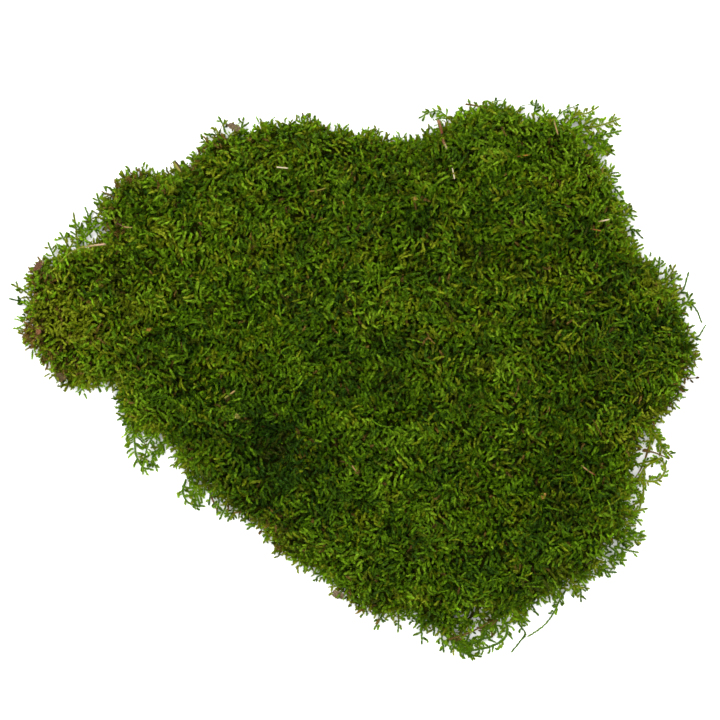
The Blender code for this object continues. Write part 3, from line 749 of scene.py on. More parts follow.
def grow_out(start, heading, reach, start_z, end_z, branch, beyond, rng):
    """Shoots along lines that run out over the rim and droop, up to a limit beyond the rim.

    One more shoot follows each line itself, in place of its stem.
    """
    count = len(start)
    curl = rng.normal(0.0, RIM_CURL, count) / MM
    spray_shade = rng.normal(0.0, RIM_SPRAY_SHADE_SPREAD, count)
    kind = rng.uniform(size=count)
    shoots = []
    for k in range(int(reach.max() / BRANCH_STEP) + 1):
        along = (k + 0.5) * BRANCH_STEP
        share = np.clip(along / reach, 0.0, 1.0)
        stem = start + along * plan_way(heading + 0.5 * curl * along)
        stem_z = start_z + (end_z - start_z) * share ** 0.7
        last = along + BRANCH_STEP >= reach
        turn = np.radians(rng.uniform(35.0, 70.0, count)) * (1.0 if k % 2 else -1.0)
        turn = np.where(last, 0.15 * turn, turn)
        length = branch * rng.uniform(0.75, 1.25, count) * (1.1 - 0.4 * share)
        steep = np.radians(rng.uniform(-14.0, 24.0, count))
        end = stem + (length * np.cos(steep))[:, None] * plan_way(heading + curl * along + turn)
        tip_z = stem_z + length * np.sin(steep)
        ceiling = np.where(at(mat_top, end) > 2.0 * MM, at(mat_top, end), EDGE_CEILING)
        tip_z = np.clip(tip_z, LOWEST_SHOOT, np.maximum(ceiling, 1.0 * MM))
        base = np.c_[stem, np.maximum(stem_z, LOWEST_SHOOT)]
        bow = rng.normal(0.0, BOW_SPREAD, (count, 3)) * length[:, None]
        bow[:, 2] = rng.uniform(0.0, 0.08, count) * length
        shade = RIM_SHADE_MIDDLE + spray_shade + rng.normal(0.0, 0.07, count)
        tone = tone_of(end, shade, kind, rng)
        size = rng.uniform(0.78, 1.05, count)
        grows = (along < reach) & (at(rim_depth, end) > -beyond)
        shoots.append([part[grows] for part in (base, np.c_[end, tip_z], bow, size, tone)])
    end = start + reach[:, None] * plan_way(heading + 0.5 * curl * reach)
    tone = tone_of(end, 0.48 + spray_shade, kind, rng)
    bow = np.zeros((count, 3))
    bow[:, :2] = 0.12 * (curl * reach * reach)[:, None] * plan_way(heading - 0.5 * math.pi)
    bow[:, 2] = 0.1 * (start_z - end_z)
    shoots.append([np.c_[start, start_z], np.c_[end, end_z], bow, np.full(count, 0.8), tone])
    return [np.concatenate(parts) for parts in zip(*shoots)]


def grow_rim(rng):
    """The shoots that hang out all round the rim."""
    start = lattice(RIM_SPRAY_STEP, 0.5, 3.0 * MM, rng)
    start = start[at(rim_depth, start) < RIM_WIDTH]
    count = len(start)
    outward = np.arctan2(-at(inward_y, start), -at(inward_x, start))
    heading = outward + rng.normal(0.0, 0.85, count)
    ragged = 5.0 * lumps_at(start, 95.0)
    reach = at(rim_depth, start) + (rng.uniform(-4.0, 2.2, count) + ragged) * MM
    highest = np.maximum(at(mat_swell, start) - 1.5 * MM, 2.0 * MM)
    start_z = rng.uniform(1.5 * MM, highest)
    end_z = np.minimum(start_z, 5.0 * MM) * rng.uniform(0.35, 1.0, count) + 0.4 * MM
    branch = rng.uniform(4.2, 6.0, count) * MM
    return grow_out(start, heading, np.maximum(reach, BRANCH_STEP), start_z, end_z, branch,
                    RIM_OVERHANG, rng)


rng = np.random.default_rng(22)
moss_pieces("moss_rim", RIM_REGIONS, RIM_LEAVES, grow_rim(rng), rng)


# ---------------------------------------------------------------- the underside
# Where the sheet parted from the ground its creeping stems are flattened, bare and brown.
# They lie criss-cross on the sole, with a few faded shoots among them.
SOLE_STEM_STEP = 8.5 * MM
SOLE_STEM_RADIUS = 0.42 * MM
SOLE_STEM_PIECES = 7
FADED_STEP = 8.0 * MM
FADED_LENGTH_MM = (4.0, 8.0)
FADED_LEAVES = 8
FADED_SIZE = 0.9


def tubes(centres, radii, sides, tone):
    """Round stems along lines of points: vertices, triangles and tone-map places."""
    count, rings = centres.shape[:2]
    along = unit(np.gradient(centres, axis=1))
    side = unit(np.cross(along, np.array([0.0, 0.0, 1.0])))
    over = np.cross(side, along)
    angle = math.tau * np.arange(sides) / sides
    round_about = (side[:, :, None, :] * np.cos(angle)[:, None]
                   + over[:, :, None, :] * np.sin(angle)[:, None])
    verts = centres[:, :, None, :] + radii[:, :, None, None] * round_about
    k = np.arange(sides)
    j = (k + 1) % sides
    strip = np.concatenate([np.stack([k, j, j + sides], axis=1),
                            np.stack([k, j + sides, k + sides], axis=1)])
    body = (np.arange(rings - 1)[:, None, None] * sides + strip).reshape(-1, 3)
    fan = np.stack([np.zeros(sides - 2, int), np.arange(2, sides), np.arange(1, sides - 1)], axis=1)
    one = np.concatenate([body, fan, fan[:, ::-1] + (rings - 1) * sides])
    triangles = (np.arange(count)[:, None, None] * rings * sides + one).reshape(-1, 3)
    u = tone[:, None, None] + TONE_BLEED * np.cos(angle)
    v = np.linspace(0.5, 0.85, rings)[None, :, None] + np.zeros_like(u)
    uv = np.stack([u + 0.0 * v, v], axis=3).reshape(-1, 2)
    return verts.reshape(-1, 3), triangles, uv


def sole_stems(rng):
    """Bare stems that lie on the ground in slight curves, thinner towards both ends."""
    start = lattice(SOLE_STEM_STEP, 0.5, THATCH_INSET + 6.0 * MM, rng)
    count = len(start)
    heading = rng.uniform(0.0, math.tau, count)
    curl = rng.normal(0.0, 0.04, count)
    reach = rng.uniform(8.0, 26.0, count) * MM
    t = np.linspace(-0.5, 0.5, SOLE_STEM_PIECES + 1)
    angle = heading[:, None] + curl[:, None] * reach[:, None] / MM * t
    x = start[:, 0:1] + reach[:, None] * t * np.cos(angle)
    y = start[:, 1:2] + reach[:, None] * t * np.sin(angle)
    radii = SOLE_STEM_RADIUS * rng.uniform(0.5, 1.0, (count, 1)) * (1.0 - 0.5 * np.abs(t))
    z = radii + rng.uniform(0.0, 0.35, (count, 1)) * MM
    centres = np.stack([x, y, z], axis=2)
    return tubes(centres, radii, 4, rng.uniform(0.01, DEAD_TO, count))


rng = np.random.default_rng(24)
stems = sole_stems(rng)
start = lattice(FADED_STEP, 0.5, 3.0 * MM, rng)
count = len(start)
heading = rng.uniform(0.0, math.tau, count)
length = rng.uniform(*FADED_LENGTH_MM, count) * MM
base = np.c_[start, rng.uniform(0.3, 0.9, count) * MM]
tip = np.c_[start + length[:, None] * plan_way(heading), rng.uniform(0.3, 1.2, count) * MM]
tone = np.where(rng.uniform(size=count) < 0.7, rng.uniform(0.0, DEAD_TO, count),
                rng.uniform(olive_tone(0.0), olive_tone(0.6), count))
bow = 0.08 * length[:, None] * rng.normal(size=(count, 3)) * (1.0, 1.0, 0.1)
faded = leafy(base, tip, bow, FADED_LEAVES, np.full(count, FADED_SIZE), tone, rng)
moss_piece("moss_sole", *joined(stems, faded), "moss", "moss_mat")


# ---------------------------------------------------------------- the fronds
# Loose fronds lie round the rim with their foot tucked under it. Each is one wiry stem
# with two rows of short leafy branches, longest near its foot. Most end in a leafy
# point; some are thin and bare towards the tip.
STEM_RADIUS = 0.46 * MM
BRANCH_SPACE = 2.6
BRANCH_ANGLE = 62.0
FROND_LEAVES = 14
FROND_LEAF = 0.92
STEM_LEAF = 0.88
BRANCH_STRETCH = 1.60
BRANCH_RADIUS = 0.20 * MM
DEAD_BRANCH_SHARE = 0.35
FORK_SHARE = 0.30
FROND_SPREAD = math.radians(17.0)
STEM_SPREAD = math.radians(26.0)
STEM_LEAVES = 5
STEM_TAPER = 0.45
FORKED_FROM = 2.4
FROND_SHADE_SPREAD = 0.24
# Of a frond's branches, the share that is fresh, and that is fresh or green; the rest are olive
GREEN_MIX = (0.65, 0.88)
YELLOW_MIX = (0.50, 0.65)
LOW = 1.2
HIGH = 3.6

# Each frond: its name, the length of its branches, and the points its stem runs through, in mm
FRONDS = [
    ("frond_lower_left_1", 4.4,
     [(-112.5, -21.0, LOW), (-112.5, -30.5, LOW), (-111.5, -38.5, LOW),
      (-108.5, -44.0, LOW), (-104.5, -45.5, LOW)]),
    ("frond_lower_left_2", 3.0,
     [(-101.0, -26.0, LOW), (-104.5, -31.5, HIGH), (-106.5, -36.5, HIGH), (-107.5, -42.0, HIGH)]),
    ("frond_lower_left_3", 2.2,
     [(-96.0, -29.5, LOW), (-99.5, -36.0, LOW), (-103.0, -39.5, LOW), (-101.5, -45.0, LOW)]),
    ("frond_lower_left_4", 2.4,
     [(-86.5, -50.5, LOW), (-88.0, -56.0, LOW), (-86.5, -61.0, LOW),
      (-82.5, -63.5, LOW), (-78.5, -64.0, LOW)]),
    ("frond_lower_left_5", 1.8, [(-81.0, -52.5, LOW), (-80.0, -56.0, LOW), (-79.0, -60.0, LOW)]),
    ("frond_bottom_1", 3.2,
     [(72.0, -119.5, LOW), (75.0, -124.5, LOW), (74.0, -130.0, LOW),
      (69.0, -133.5, HIGH), (62.5, -135.5, HIGH), (56.0, -136.5, HIGH)]),
    ("frond_bottom_2", 3.2,
     [(46.5, -127.5, LOW), (48.0, -134.0, LOW), (54.0, -138.0, LOW), (60.5, -139.5, LOW)]),
    ("frond_bottom_3", 2.0,
     [(79.5, -117.0, LOW), (81.0, -123.0, LOW), (84.0, -128.0, LOW),
      (81.5, -132.0, LOW), (78.0, -136.5, LOW)]),
    ("frond_bottom_4", 1.8,
     [(105.0, -105.5, LOW), (101.5, -111.5, LOW), (99.0, -116.5, LOW),
      (95.5, -122.0, LOW), (91.0, -126.0, LOW), (86.5, -129.0, LOW)]),
    ("frond_top_1", 2.6,
     [(46.5, 130.5, LOW), (41.0, 134.5, LOW), (36.0, 134.0, LOW), (32.0, 132.0, LOW)]),
    ("frond_top_2", 1.6,
     [(60.5, 134.5, LOW), (65.5, 138.5, LOW), (70.0, 140.0, LOW), (75.0, 139.5, LOW)]),
    ("frond_top_3", 1.5, [(79.8, 133.6, LOW), (82.0, 137.0, LOW), (88.0, 138.5, LOW)]),
    ("frond_upper_right_1", 4.0,
     [(108.5, 124.5, LOW), (113.5, 126.5, LOW), (119.5, 127.0, LOW),
      (125.0, 128.5, LOW), (130.5, 130.5, LOW)]),
    ("frond_upper_right_2", 2.4,
     [(113.5, 117.0, LOW), (118.5, 121.5, LOW), (124.5, 123.0, LOW), (131.0, 124.5, LOW)]),
    ("frond_upper_right_3", 2.4,
     [(104.5, 128.0, LOW), (109.5, 132.5, HIGH), (115.0, 133.5, HIGH), (119.5, 136.0, HIGH)]),
    ("frond_upper_right_4", 1.8, [(99.5, 130.5, LOW), (103.0, 134.5, LOW), (109.5, 137.5, LOW)]),
    ("frond_right_1", 2.2, [(120.5, 112.0, LOW), (124.0, 115.5, LOW), (128.0, 113.5, LOW)]),
    ("frond_right_2", 2.4, [(129.3, 89.9, LOW), (133.5, 86.5, LOW), (138.5, 84.5, LOW)]),
    ("frond_right_3", 2.0, [(134.5, 74.0, LOW), (138.5, 75.0, LOW), (142.5, 71.5, LOW)]),
    ("frond_right_4", 3.2, [(152.5, 49.0, LOW), (156.0, 51.0, LOW), (159.0, 56.0, LOW)]),
    ("frond_right_5", 2.0, [(159.0, 40.5, LOW), (163.5, 45.0, LOW), (166.0, 52.5, LOW)]),
    ("frond_right_6", 2.2,
     [(161.0, 36.5, LOW), (166.0, 38.5, LOW), (170.0, 35.0, LOW), (172.5, 29.5, LOW)]),
    ("frond_right_7", 2.0, [(166.0, 21.0, LOW), (171.0, 21.5, LOW), (174.4, 26.2, LOW)]),
    ("frond_right_8", 3.0,
     [(146.5, -24.8, LOW), (149.5, -29.0, LOW), (152.5, -33.5, LOW), (157.0, -38.5, HIGH)]),
    ("frond_right_9", 2.4,
     [(137.5, -50.5, LOW), (143.0, -51.0, LOW), (149.0, -51.5, LOW), (153.0, -49.0, LOW),
      (154.5, -44.5, LOW), (152.5, -41.0, LOW), (148.5, -40.0, LOW)]),
    ("frond_right_10", 1.8, [(136.5, -56.0, LOW), (141.5, -57.5, LOW), (142.0, -62.5, LOW)]),
    ("frond_right_11", 2.4, [(135.0, -75.5, LOW), (139.5, -77.0, LOW), (143.5, -78.5, LOW)]),
    ("frond_upper_left_1", 3.6,
     [(-130.2, 74.2, LOW), (-133.0, 76.5, LOW), (-135.0, 80.0, LOW), (-137.0, 85.5, LOW)]),
    ("frond_upper_left_2", 3.0,
     [(-140.0, 65.0, LOW), (-141.5, 70.5, LOW), (-142.0, 76.0, LOW), (-143.0, 82.5, LOW)]),
    ("frond_left_1", 1.8, [(-165.5, 42.5, LOW), (-169.0, 45.0, LOW), (-173.0, 47.0, LOW)]),
    ("frond_left_2", 1.6, [(-165.5, 36.5, LOW), (-169.5, 38.8, LOW), (-174.2, 40.0, LOW)]),
]
# Shade of some fronds, from 0 dark to 1 pale; the others have the usual one
FROND_SHADE = 0.78
FROND_SHADES = {
    "frond_bottom_1": 0.66, "frond_bottom_2": 0.66, "frond_bottom_3": 0.50, "frond_bottom_4": 0.74,
    "frond_left_2": 0.30, "frond_lower_left_4": 0.70, "frond_right_3": 0.45, "frond_right_5": 0.66,
    "frond_right_6": 0.62, "frond_right_7": 0.70, "frond_right_9": 0.90, "frond_top_1": 0.86,
    "frond_upper_right_1": 0.94, "frond_upper_right_2": 0.84, "frond_upper_right_3": 0.94,
}
# These are yellower than the others, their stems too
YELLOW_FRONDS = ("frond_right_8", "frond_right_9", "frond_right_10", "frond_right_2", "frond_right_4",
                 "frond_upper_right_1", "frond_upper_right_3", "frond_upper_left_2", "frond_left_1")
# How stout the stems of some fronds are; the others are 1
STOUT_FRONDS = {"frond_bottom_1": 1.7, "frond_bottom_2": 1.3, "frond_lower_left_1": 1.2,
                "frond_lower_left_4": 1.3, "frond_right_9": 1.3, "frond_right_8": 1.3,
                "frond_bottom_4": 0.95, "frond_top_1": 0.85, "frond_top_2": 0.6, "frond_top_3": 0.6,
                "frond_upper_right_4": 0.7, "frond_right_6": 0.95, "frond_right_7": 0.9}
# How thickly some fronds are branched; the others are full
THIN_FRONDS = {
    "frond_lower_left_4": 0.5, "frond_lower_left_5": 0.3, "frond_bottom_1": 0.8,
    "frond_bottom_3": 0.5, "frond_bottom_4": 0.7, "frond_top_2": 0.4, "frond_top_3": 0.4,
    "frond_upper_right_4": 0.5, "frond_right_5": 0.4, "frond_right_6": 0.5,
}
# These have branches only over the first share of their length and are thin and bare beyond
BARE_FRONDS = {"frond_bottom_3": 0.35, "frond_bottom_4": 0.42, "frond_left_2": 0.5, "frond_top_2": 0.4,
               "frond_top_3": 0.4, "frond_right_5": 0.35, "frond_right_6": 0.5, "frond_right_7": 0.4,
               "frond_right_3": 0.6, "frond_upper_left_1": 0.6, "frond_upper_left_2": 0.7}


def smooth_curve(points, step):
    """Points about one step apart on a Catmull-Rom curve through the given points."""
    points = np.array(points, float)
    count = len(points)
    fine = []
    for i in range(count - 1):
        p1, p2 = points[i], points[i + 1]
        p0 = points[i - 1] if i > 0 else 2 * p1 - p2
        p3 = points[i + 2] if i + 2 < count else 2 * p2 - p1
        for t in np.linspace(0.0, 1.0, 12, endpoint=False):
            fine.append(0.5 * (2 * p1 + (p2 - p0) * t + (2 * p0 - 5 * p1 + 4 * p2 - p3) * t ** 2
                               + (3 * p1 - p0 - 3 * p2 + p3) * t ** 3))
    fine = np.array(fine + [points[-1]])
    along = np.concatenate([[0.0], np.cumsum(np.linalg.norm(np.diff(fine, axis=0), axis=1))])
    places = np.linspace(0.0, along[-1], max(2, round(along[-1] / step)) + 1)
    return np.stack([np.interp(places, along, fine[:, k]) for k in range(fine.shape[1])], axis=1)


def turned(direction, angle):
    """A direction in plan, turned by an angle, with no rise."""
    c, s = math.cos(angle), math.sin(angle)
    x, y = direction[0], direction[1]
    return np.array([x * c - y * s, x * s + y * c, 0.0])


def frond_parts(reach, points, seed, shade, fullness=1.0, dead=False, stout=1.0, yellow=False,
                branched=1.0):
    """A frond's stem, its leaves and its leafy branches.

    The dice fall as they do for the solid frond, so both have branches at the same places.
    What only the looks have, such as forks and tones, is drawn from the generator.
    """
    dice = random.Random(seed)
    rng = np.random.default_rng(seed)
    knots = smooth_curve(points, BRANCH_SPACE)
    count = len(knots)
    first_side = dice.choice((0, 1))
    base, tip, bow = [], [], []

    def branch(foot, run, swing, length):
        """One leafy branch that bends towards the frond's tip, and perhaps its fork."""
        swing *= rng.uniform(0.70, 1.0)
        way = turned(run, swing)
        base.append(foot)
        tip.append(foot + length * way + np.array([0.0, 0.0, rng.uniform(-0.4, 0.8)]))
        bow.append(0.10 * length * (way - run) + 0.07 * length * rng.normal(size=3))
        if length > FORKED_FROM and rng.uniform() < FORK_SHARE * fullness:
            fork = foot + rng.uniform(0.3, 0.55) * length * way
            side = math.copysign(rng.uniform(0.5, 0.9), -swing if rng.uniform() < 0.6 else swing)
            base.append(fork)
            tip.append(fork + rng.uniform(0.45, 0.7) * length * turned(run, swing + side))
            bow.append(0.08 * length * rng.normal(size=3))

    for i in range(1, count - 1):
        to_right = (i + first_side) % 2 == 1
        if dead and rng.uniform() > DEAD_BRANCH_SHARE:
            continue
        if i > branched * (count - 1):
            break
        run = unit(np.array([*(knots[i + 1] - knots[i])[:2], 0.0]))
        turn = math.radians(BRANCH_ANGLE + dice.uniform(-9.0, 9.0)) * (-1.0 if to_right else 1.0)
        length = max(1.3, reach * (1.0 - 0.5 * i / (count - 1)) * dice.uniform(0.85, 1.1))
        length *= BRANCH_STRETCH * rng.uniform(0.85, 1.1)
        branch(0.5 * (knots[i] + knots[i + 1]), run, turn, length)
        if rng.uniform() < fullness:
            branch(knots[i], run, -turn, 0.9 * length)
        if rng.uniform() < fullness:
            branch(knots[i] + 0.25 * (knots[i + 1] - knots[i]), run, turn, 0.7 * length)
    if branched == 1.0:
        last = unit(knots[-1] - knots[-2])
        base.append(knots[-1] - 0.8 * last)
        tip.append(knots[-1] + 1.6 * last)
        bow.append(np.zeros(3))
    base, tip, bow = np.array(base) * MM, np.array(tip) * MM, np.array(bow) * MM
    shades = np.clip(shade + rng.normal(0.0, FROND_SHADE_SPREAD, len(base)), 0.08, 1.0)
    chance = rng.uniform(size=len(base))
    fresh_share, green_share = YELLOW_MIX if yellow else GREEN_MIX
    tone = np.where(chance < green_share, green_tone(shades), olive_tone(shades))
    tone = np.where(chance < fresh_share, fresh_tone(shades), tone)
    tone = np.where(dead, rng.uniform(0.02, DEAD_TO - 0.015, len(base)), tone)
    sizes = rng.uniform(0.9, 1.1, len(base)) * FROND_LEAF
    branches = leafy(base, tip, bow, FROND_LEAVES, sizes, tone, rng, (0.3, 0.96), FROND_SPREAD)

    t = np.linspace(0.0, 0.8, 4)[None, :, None]
    centres = base[:, None] + (tip - base)[:, None] * t + bow[:, None] * (4.0 * t * (1.0 - t))
    twig_radii = BRANCH_RADIUS * (1.0 - 0.6 * t[:, :, 0]) + np.zeros((len(base), 1))
    twigs = tubes(centres, twig_radii, 3, tone)

    if dead:
        tube_tone = 0.5 * DEAD_TO
    elif yellow:
        stem_tone, tube_tone = olive_tone(shade - 0.06), olive_tone(shade - 0.10)
    else:
        stem_tone, tube_tone = fresh_tone(shade - 0.16), green_tone(shade - 0.20)
    line = smooth_curve(points, 1.0) * MM
    radii = STEM_RADIUS * stout * np.linspace(1.0, STEM_TAPER, len(line))
    stem = tubes(line[None], radii[None], 5, np.array([tube_tone]))
    if dead:
        return joined(stem, twigs, branches)
    step = np.diff(line, axis=0)
    leaf_size = STEM_LEAF * min(stout ** 2, 0.5 + 0.5 * stout)
    clothed = leafy(line[:-1], line[1:] + 1.2 * step, np.zeros_like(step), STEM_LEAVES,
                    np.full(len(step), leaf_size), np.full(len(step), stem_tone), rng,
                    (0.45, 0.8), STEM_SPREAD)
    return joined(stem, clothed, twigs, branches)


for number, (frond_name, frond_reach, frond_points) in enumerate(FRONDS):
    parts = frond_parts(frond_reach, frond_points, 100 + number,
                        FROND_SHADES.get(frond_name, FROND_SHADE), THIN_FRONDS.get(frond_name, 1.0),
                        stout=STOUT_FRONDS.get(frond_name, 1.0), yellow=frond_name in YELLOW_FRONDS,
                        branched=BARE_FRONDS.get(frond_name, 1.0))
    moss_piece(frond_name.replace("frond", "leafy_frond"), *parts, "frond", frond_name)


# ---------------------------------------------------------------- the stray fronds
# Here and there a smaller frond of the mat itself reaches out of the rim and droops to
# the ground. It grows from the mat, so it belongs to the mat's solid.
# Each row: the rim place it leaves, its heading in degrees, its length and its branches'
# length, in mm
STRAYS = [
    (-136.0, 68.0, 96.0, 13.0, 2.2), (-127.0, 84.0, 142.0, 9.0, 3.2), (-144.0, 64.0, 120.0, 10.0, 3.4),
    (-152.0, 60.0, 118.0, 8.0, 3.0), (-164.0, 49.0, 158.0, 3.5, 1.8), (-166.0, 31.0, 186.0, 3.0, 1.8),
    (-50.0, -71.0, 228.0, 6.0, 2.2), (-44.0, -76.0, 236.0, 6.0, 2.2), (-40.0, -82.0, 222.0, 5.0, 2.2),
    (14.0, -114.0, 252.0, 12.0, 2.2), (20.0, -115.0, 282.0, 11.0, 2.2), (33.0, -121.0, 252.0, 11.0, 3.2),
    (42.0, -124.0, 266.0, 12.0, 3.4), (67.0, -118.0, 300.0, 11.0, 3.0),
    (112.0, 120.0, 22.0, 12.0, 3.2), (117.0, 113.0, 34.0, 10.0, 3.0),
    (127.0, 98.0, -38.0, 8.0, 2.2), (128.0, 91.0, -32.0, 8.0, 2.2), (131.0, 82.0, 14.0, 8.0, 2.8),
    (150.0, 50.0, 68.0, 10.0, 3.4), (154.0, 46.0, 34.0, 9.0, 3.2), (162.0, 36.0, 20.0, 8.0, 2.8),
    (135.0, -68.0, -8.0, 8.0, 2.8), (134.0, -80.0, -24.0, 9.0, 3.0), (130.0, -84.0, -36.0, 10.0, 3.0),
    (124.0, -89.0, -42.0, 10.0, 3.2), (118.0, -94.0, -46.0, 11.0, 3.2), (110.0, -101.0, -52.0, 10.0, 3.0),
    (-67.0, 124.0, 84.0, 7.0, 2.6), (-58.0, 124.0, 112.0, 6.0, 2.6), (88.0, 131.0, 76.0, 8.0, 2.8),
    (74.0, 134.0, 96.0, 4.0, 2.2), (146.0, -22.0, -52.0, 9.0, 2.8), (164.0, 1.0, -28.0, 6.0, 2.0),
    (47.0, -124.0, 285.0, 13.0, 3.6), (74.0, -117.0, 240.0, 15.0, 3.4),
    (70.0, -121.0, 215.0, 16.0, 3.4), (80.0, -115.0, 280.0, 9.0, 3.0), (108.0, 124.0, 40.0, 13.0, 3.6),
    (112.0, 121.0, 4.0, 13.0, 3.6), (106.0, 127.0, 62.0, 9.0, 3.2), (118.0, 115.0, 10.0, 9.0, 3.0),
    (-131.0, 73.0, 112.0, 9.0, 2.2), (-138.0, 66.0, 84.0, 8.0, 2.2), (-134.0, 71.0, 128.0, 7.0, 2.2),
    (-104.0, -24.0, 262.0, 4.0, 3.0), (-108.0, -18.0, 214.0, 8.0, 3.0), (-97.0, -30.0, 236.0, 9.0, 3.0),
    (-112.0, -14.0, 248.0, 10.0, 3.0), (-110.0, -17.0, 262.0, 8.0, 2.8), (-113.5, -8.0, 240.0, 8.0, 2.8),
    (-106.0, -20.0, 256.0, 8.0, 2.8), (-82.0, -47.0, 262.0, 6.0, 2.2), (-77.0, -50.0, 275.0, 7.0, 2.6),
    (-73.5, -54.0, 262.0, 8.0, 2.6), (-70.0, -58.0, 278.0, 8.0, 2.6), (-66.0, -62.0, 262.0, 8.0, 2.6),
    (-62.0, -64.0, 270.0, 7.0, 2.6), (-111.0, -8.0, 222.0, 9.0, 3.2), (-110.0, -12.0, 218.0, 10.0, 3.2),
    (-109.0, -16.0, 226.0, 11.0, 3.4), (-108.0, -20.0, 220.0, 10.0, 3.2), (-111.0, -12.0, 243.0, 12.0, 3.4),
    (-106.0, -22.0, 240.0, 4.0, 3.2), (-112.0, -5.0, 230.0, 8.0, 3.0), (-102.0, -24.0, 250.0, 4.0, 3.0),
    (-112.0, -9.0, 232.0, 8.0, 3.4), (-111.0, -15.0, 214.0, 7.0, 3.4), (-111.5, -18.0, 236.0, 8.0, 3.4),
    (-109.0, -22.0, 228.0, 4.5, 3.4), (-107.0, -19.0, 246.0, 5.5, 3.4), (-110.0, -14.0, 252.0, 11.0, 3.4),
    (-109.0, -10.0, 206.0, 9.0, 3.2), (-105.0, -23.0, 216.0, 4.5, 3.2),
    (134.0, -48.0, -20.0, 7.0, 3.2), (133.0, -55.0, -10.0, 7.0, 3.2), (134.0, -60.0, 10.0, 7.0, 3.0),
    (133.0, -64.0, -30.0, 8.0, 3.2), (131.0, -72.0, -5.0, 8.0, 3.4), (130.0, -76.0, -25.0, 8.0, 3.4),
    (128.0, -80.0, -10.0, 9.0, 3.4), (126.0, -84.0, -35.0, 8.0, 3.4), (122.0, -88.0, -25.0, 9.0, 3.4),
    (119.0, -91.0, -55.0, 8.0, 3.2), (114.0, -96.0, -40.0, 8.0, 3.2), (106.0, -102.0, -62.0, 7.0, 3.0),
    (133.0, -70.0, 15.0, 7.0, 3.0), (127.0, -76.0, -20.0, 10.0, 3.4),
]
DEAD_STRAYS = (33, 36)
STRAY_FULLNESS = 0.65

# Stouter strands cross each other in the loose ring at the right, in the loops at the lower
# left and in the tangle at the bottom, and a dead one lies on the top rim. Each row: the
# points it runs through, in mm, its branches' length and whether it is dead
WEB_STOUT = 1.35
WEB_FULLNESS = 0.4
WEB_SHADE = 0.62
RING_FROM = 120.0
WEB = [
    ([(147.0, -20.5, 3.0), (147.0, -29.0, 2.2), (146.5, -35.5, 1.6)], 1.6, False),
    ([(147.0, -26.5, 2.4), (151.0, -29.5, 2.0), (152.5, -33.5, 1.6), (152.0, -37.0, 1.4)], 2.0, False),
    ([(143.0, -36.0, 2.0), (149.0, -37.0, 2.6), (155.0, -39.5, 2.0)], 1.2, True),
    ([(147.0, -32.0, 1.4), (144.0, -41.5, 1.6), (141.0, -47.5, 1.8), (136.5, -53.0, 2.6)], 1.2, True),
    ([(153.0, -39.5, 2.2), (145.0, -44.0, 2.8), (142.0, -49.5, 2.4), (143.5, -54.0, 1.8),
      (142.5, -60.5, 1.4), (136.0, -65.0, 2.0)], 1.6, False),
    ([(137.0, -44.0, 3.0), (142.0, -42.5, 2.2), (148.0, -41.0, 1.8)], 1.6, False),
    ([(133.0, -62.0, 3.0), (137.0, -66.5, 2.2), (144.0, -65.5, 1.4)], 1.4, False),
    ([(-88.5, -54.0, 1.4), (-84.5, -54.8, 2.4), (-80.0, -54.0, 2.0)], 1.4, False),
    ([(60.0, -117.5, 3.4), (64.5, -125.0, 2.6), (61.5, -131.5, 2.0), (53.5, -134.0, 1.6)], 2.8, False),
    ([(45.5, -131.0, 2.6), (56.0, -127.5, 3.2), (66.5, -122.0, 3.6)], 1.6, True),
    ([(45.5, -121.5, 2.8), (45.0, -128.0, 2.0), (48.5, -134.5, 1.6)], 2.6, False),
    ([(71.0, -115.5, 3.4), (68.5, -121.5, 2.8), (64.0, -127.0, 2.2)], 2.4, False),
    ([(54.0, -119.5, 3.4), (56.0, -127.5, 2.2), (52.0, -136.0, 1.6)], 2.8, False),
    ([(44.0, -126.0, 2.4), (47.0, -131.5, 1.8), (53.0, -133.0, 1.6), (60.0, -131.5, 2.0),
      (66.0, -130.0, 2.2)], 2.6, False),
    ([(50.0, -130.0, 2.4), (52.0, -135.0, 1.6), (56.5, -138.5, 1.4)], 2.4, False),
    ([(-79.5, -49.5, 3.0), (-81.5, -55.5, 2.4), (-80.0, -62.0, 1.6)], 1.0, False),
    ([(-85.0, -47.5, 2.4), (-82.5, -54.0, 2.4), (-83.5, -59.0, 2.0), (-82.0, -62.5, 1.6)], 1.0, False),
    ([(-87.5, -59.5, 1.6), (-83.0, -58.0, 2.4), (-78.5, -58.0, 2.0)], 0.8, False),
    ([(54.0, 138.0, 5.2), (58.0, 137.4, 6.0), (62.5, 136.4, 6.0)], 1.0, True),
]
parts = []
dice = random.Random(23)
for number, (x, y, heading, reach, branch) in enumerate(STRAYS):
    bend = dice.uniform(-0.7, 0.7)
    way = math.radians(heading)
    points = [(x, y, dice.uniform(2.5, 4.5))]
    for share in (0.5, 1.0):
        way += 0.5 * bend
        points.append((points[-1][0] + 0.5 * reach * math.cos(way),
                       points[-1][1] + 0.5 * reach * math.sin(way), LOW + 1.4 * (1.0 - share)))
    parts.append(frond_parts(branch, points, 200 + number, FROND_SHADE + dice.uniform(-0.15, 0.08),
                             STRAY_FULLNESS, dead=number in DEAD_STRAYS))
for number, (points, branch, dead) in enumerate(WEB):
    first_x = points[0][0]
    shade = WEB_SHADE if 0.0 < first_x < RING_FROM else FROND_SHADE
    parts.append(frond_parts(branch, points, 300 + number, shade, WEB_FULLNESS, dead, WEB_STOUT,
                             yellow=first_x > RING_FROM))
moss_piece("stray_fronds", *joined(*parts), "moss", "moss_mat")


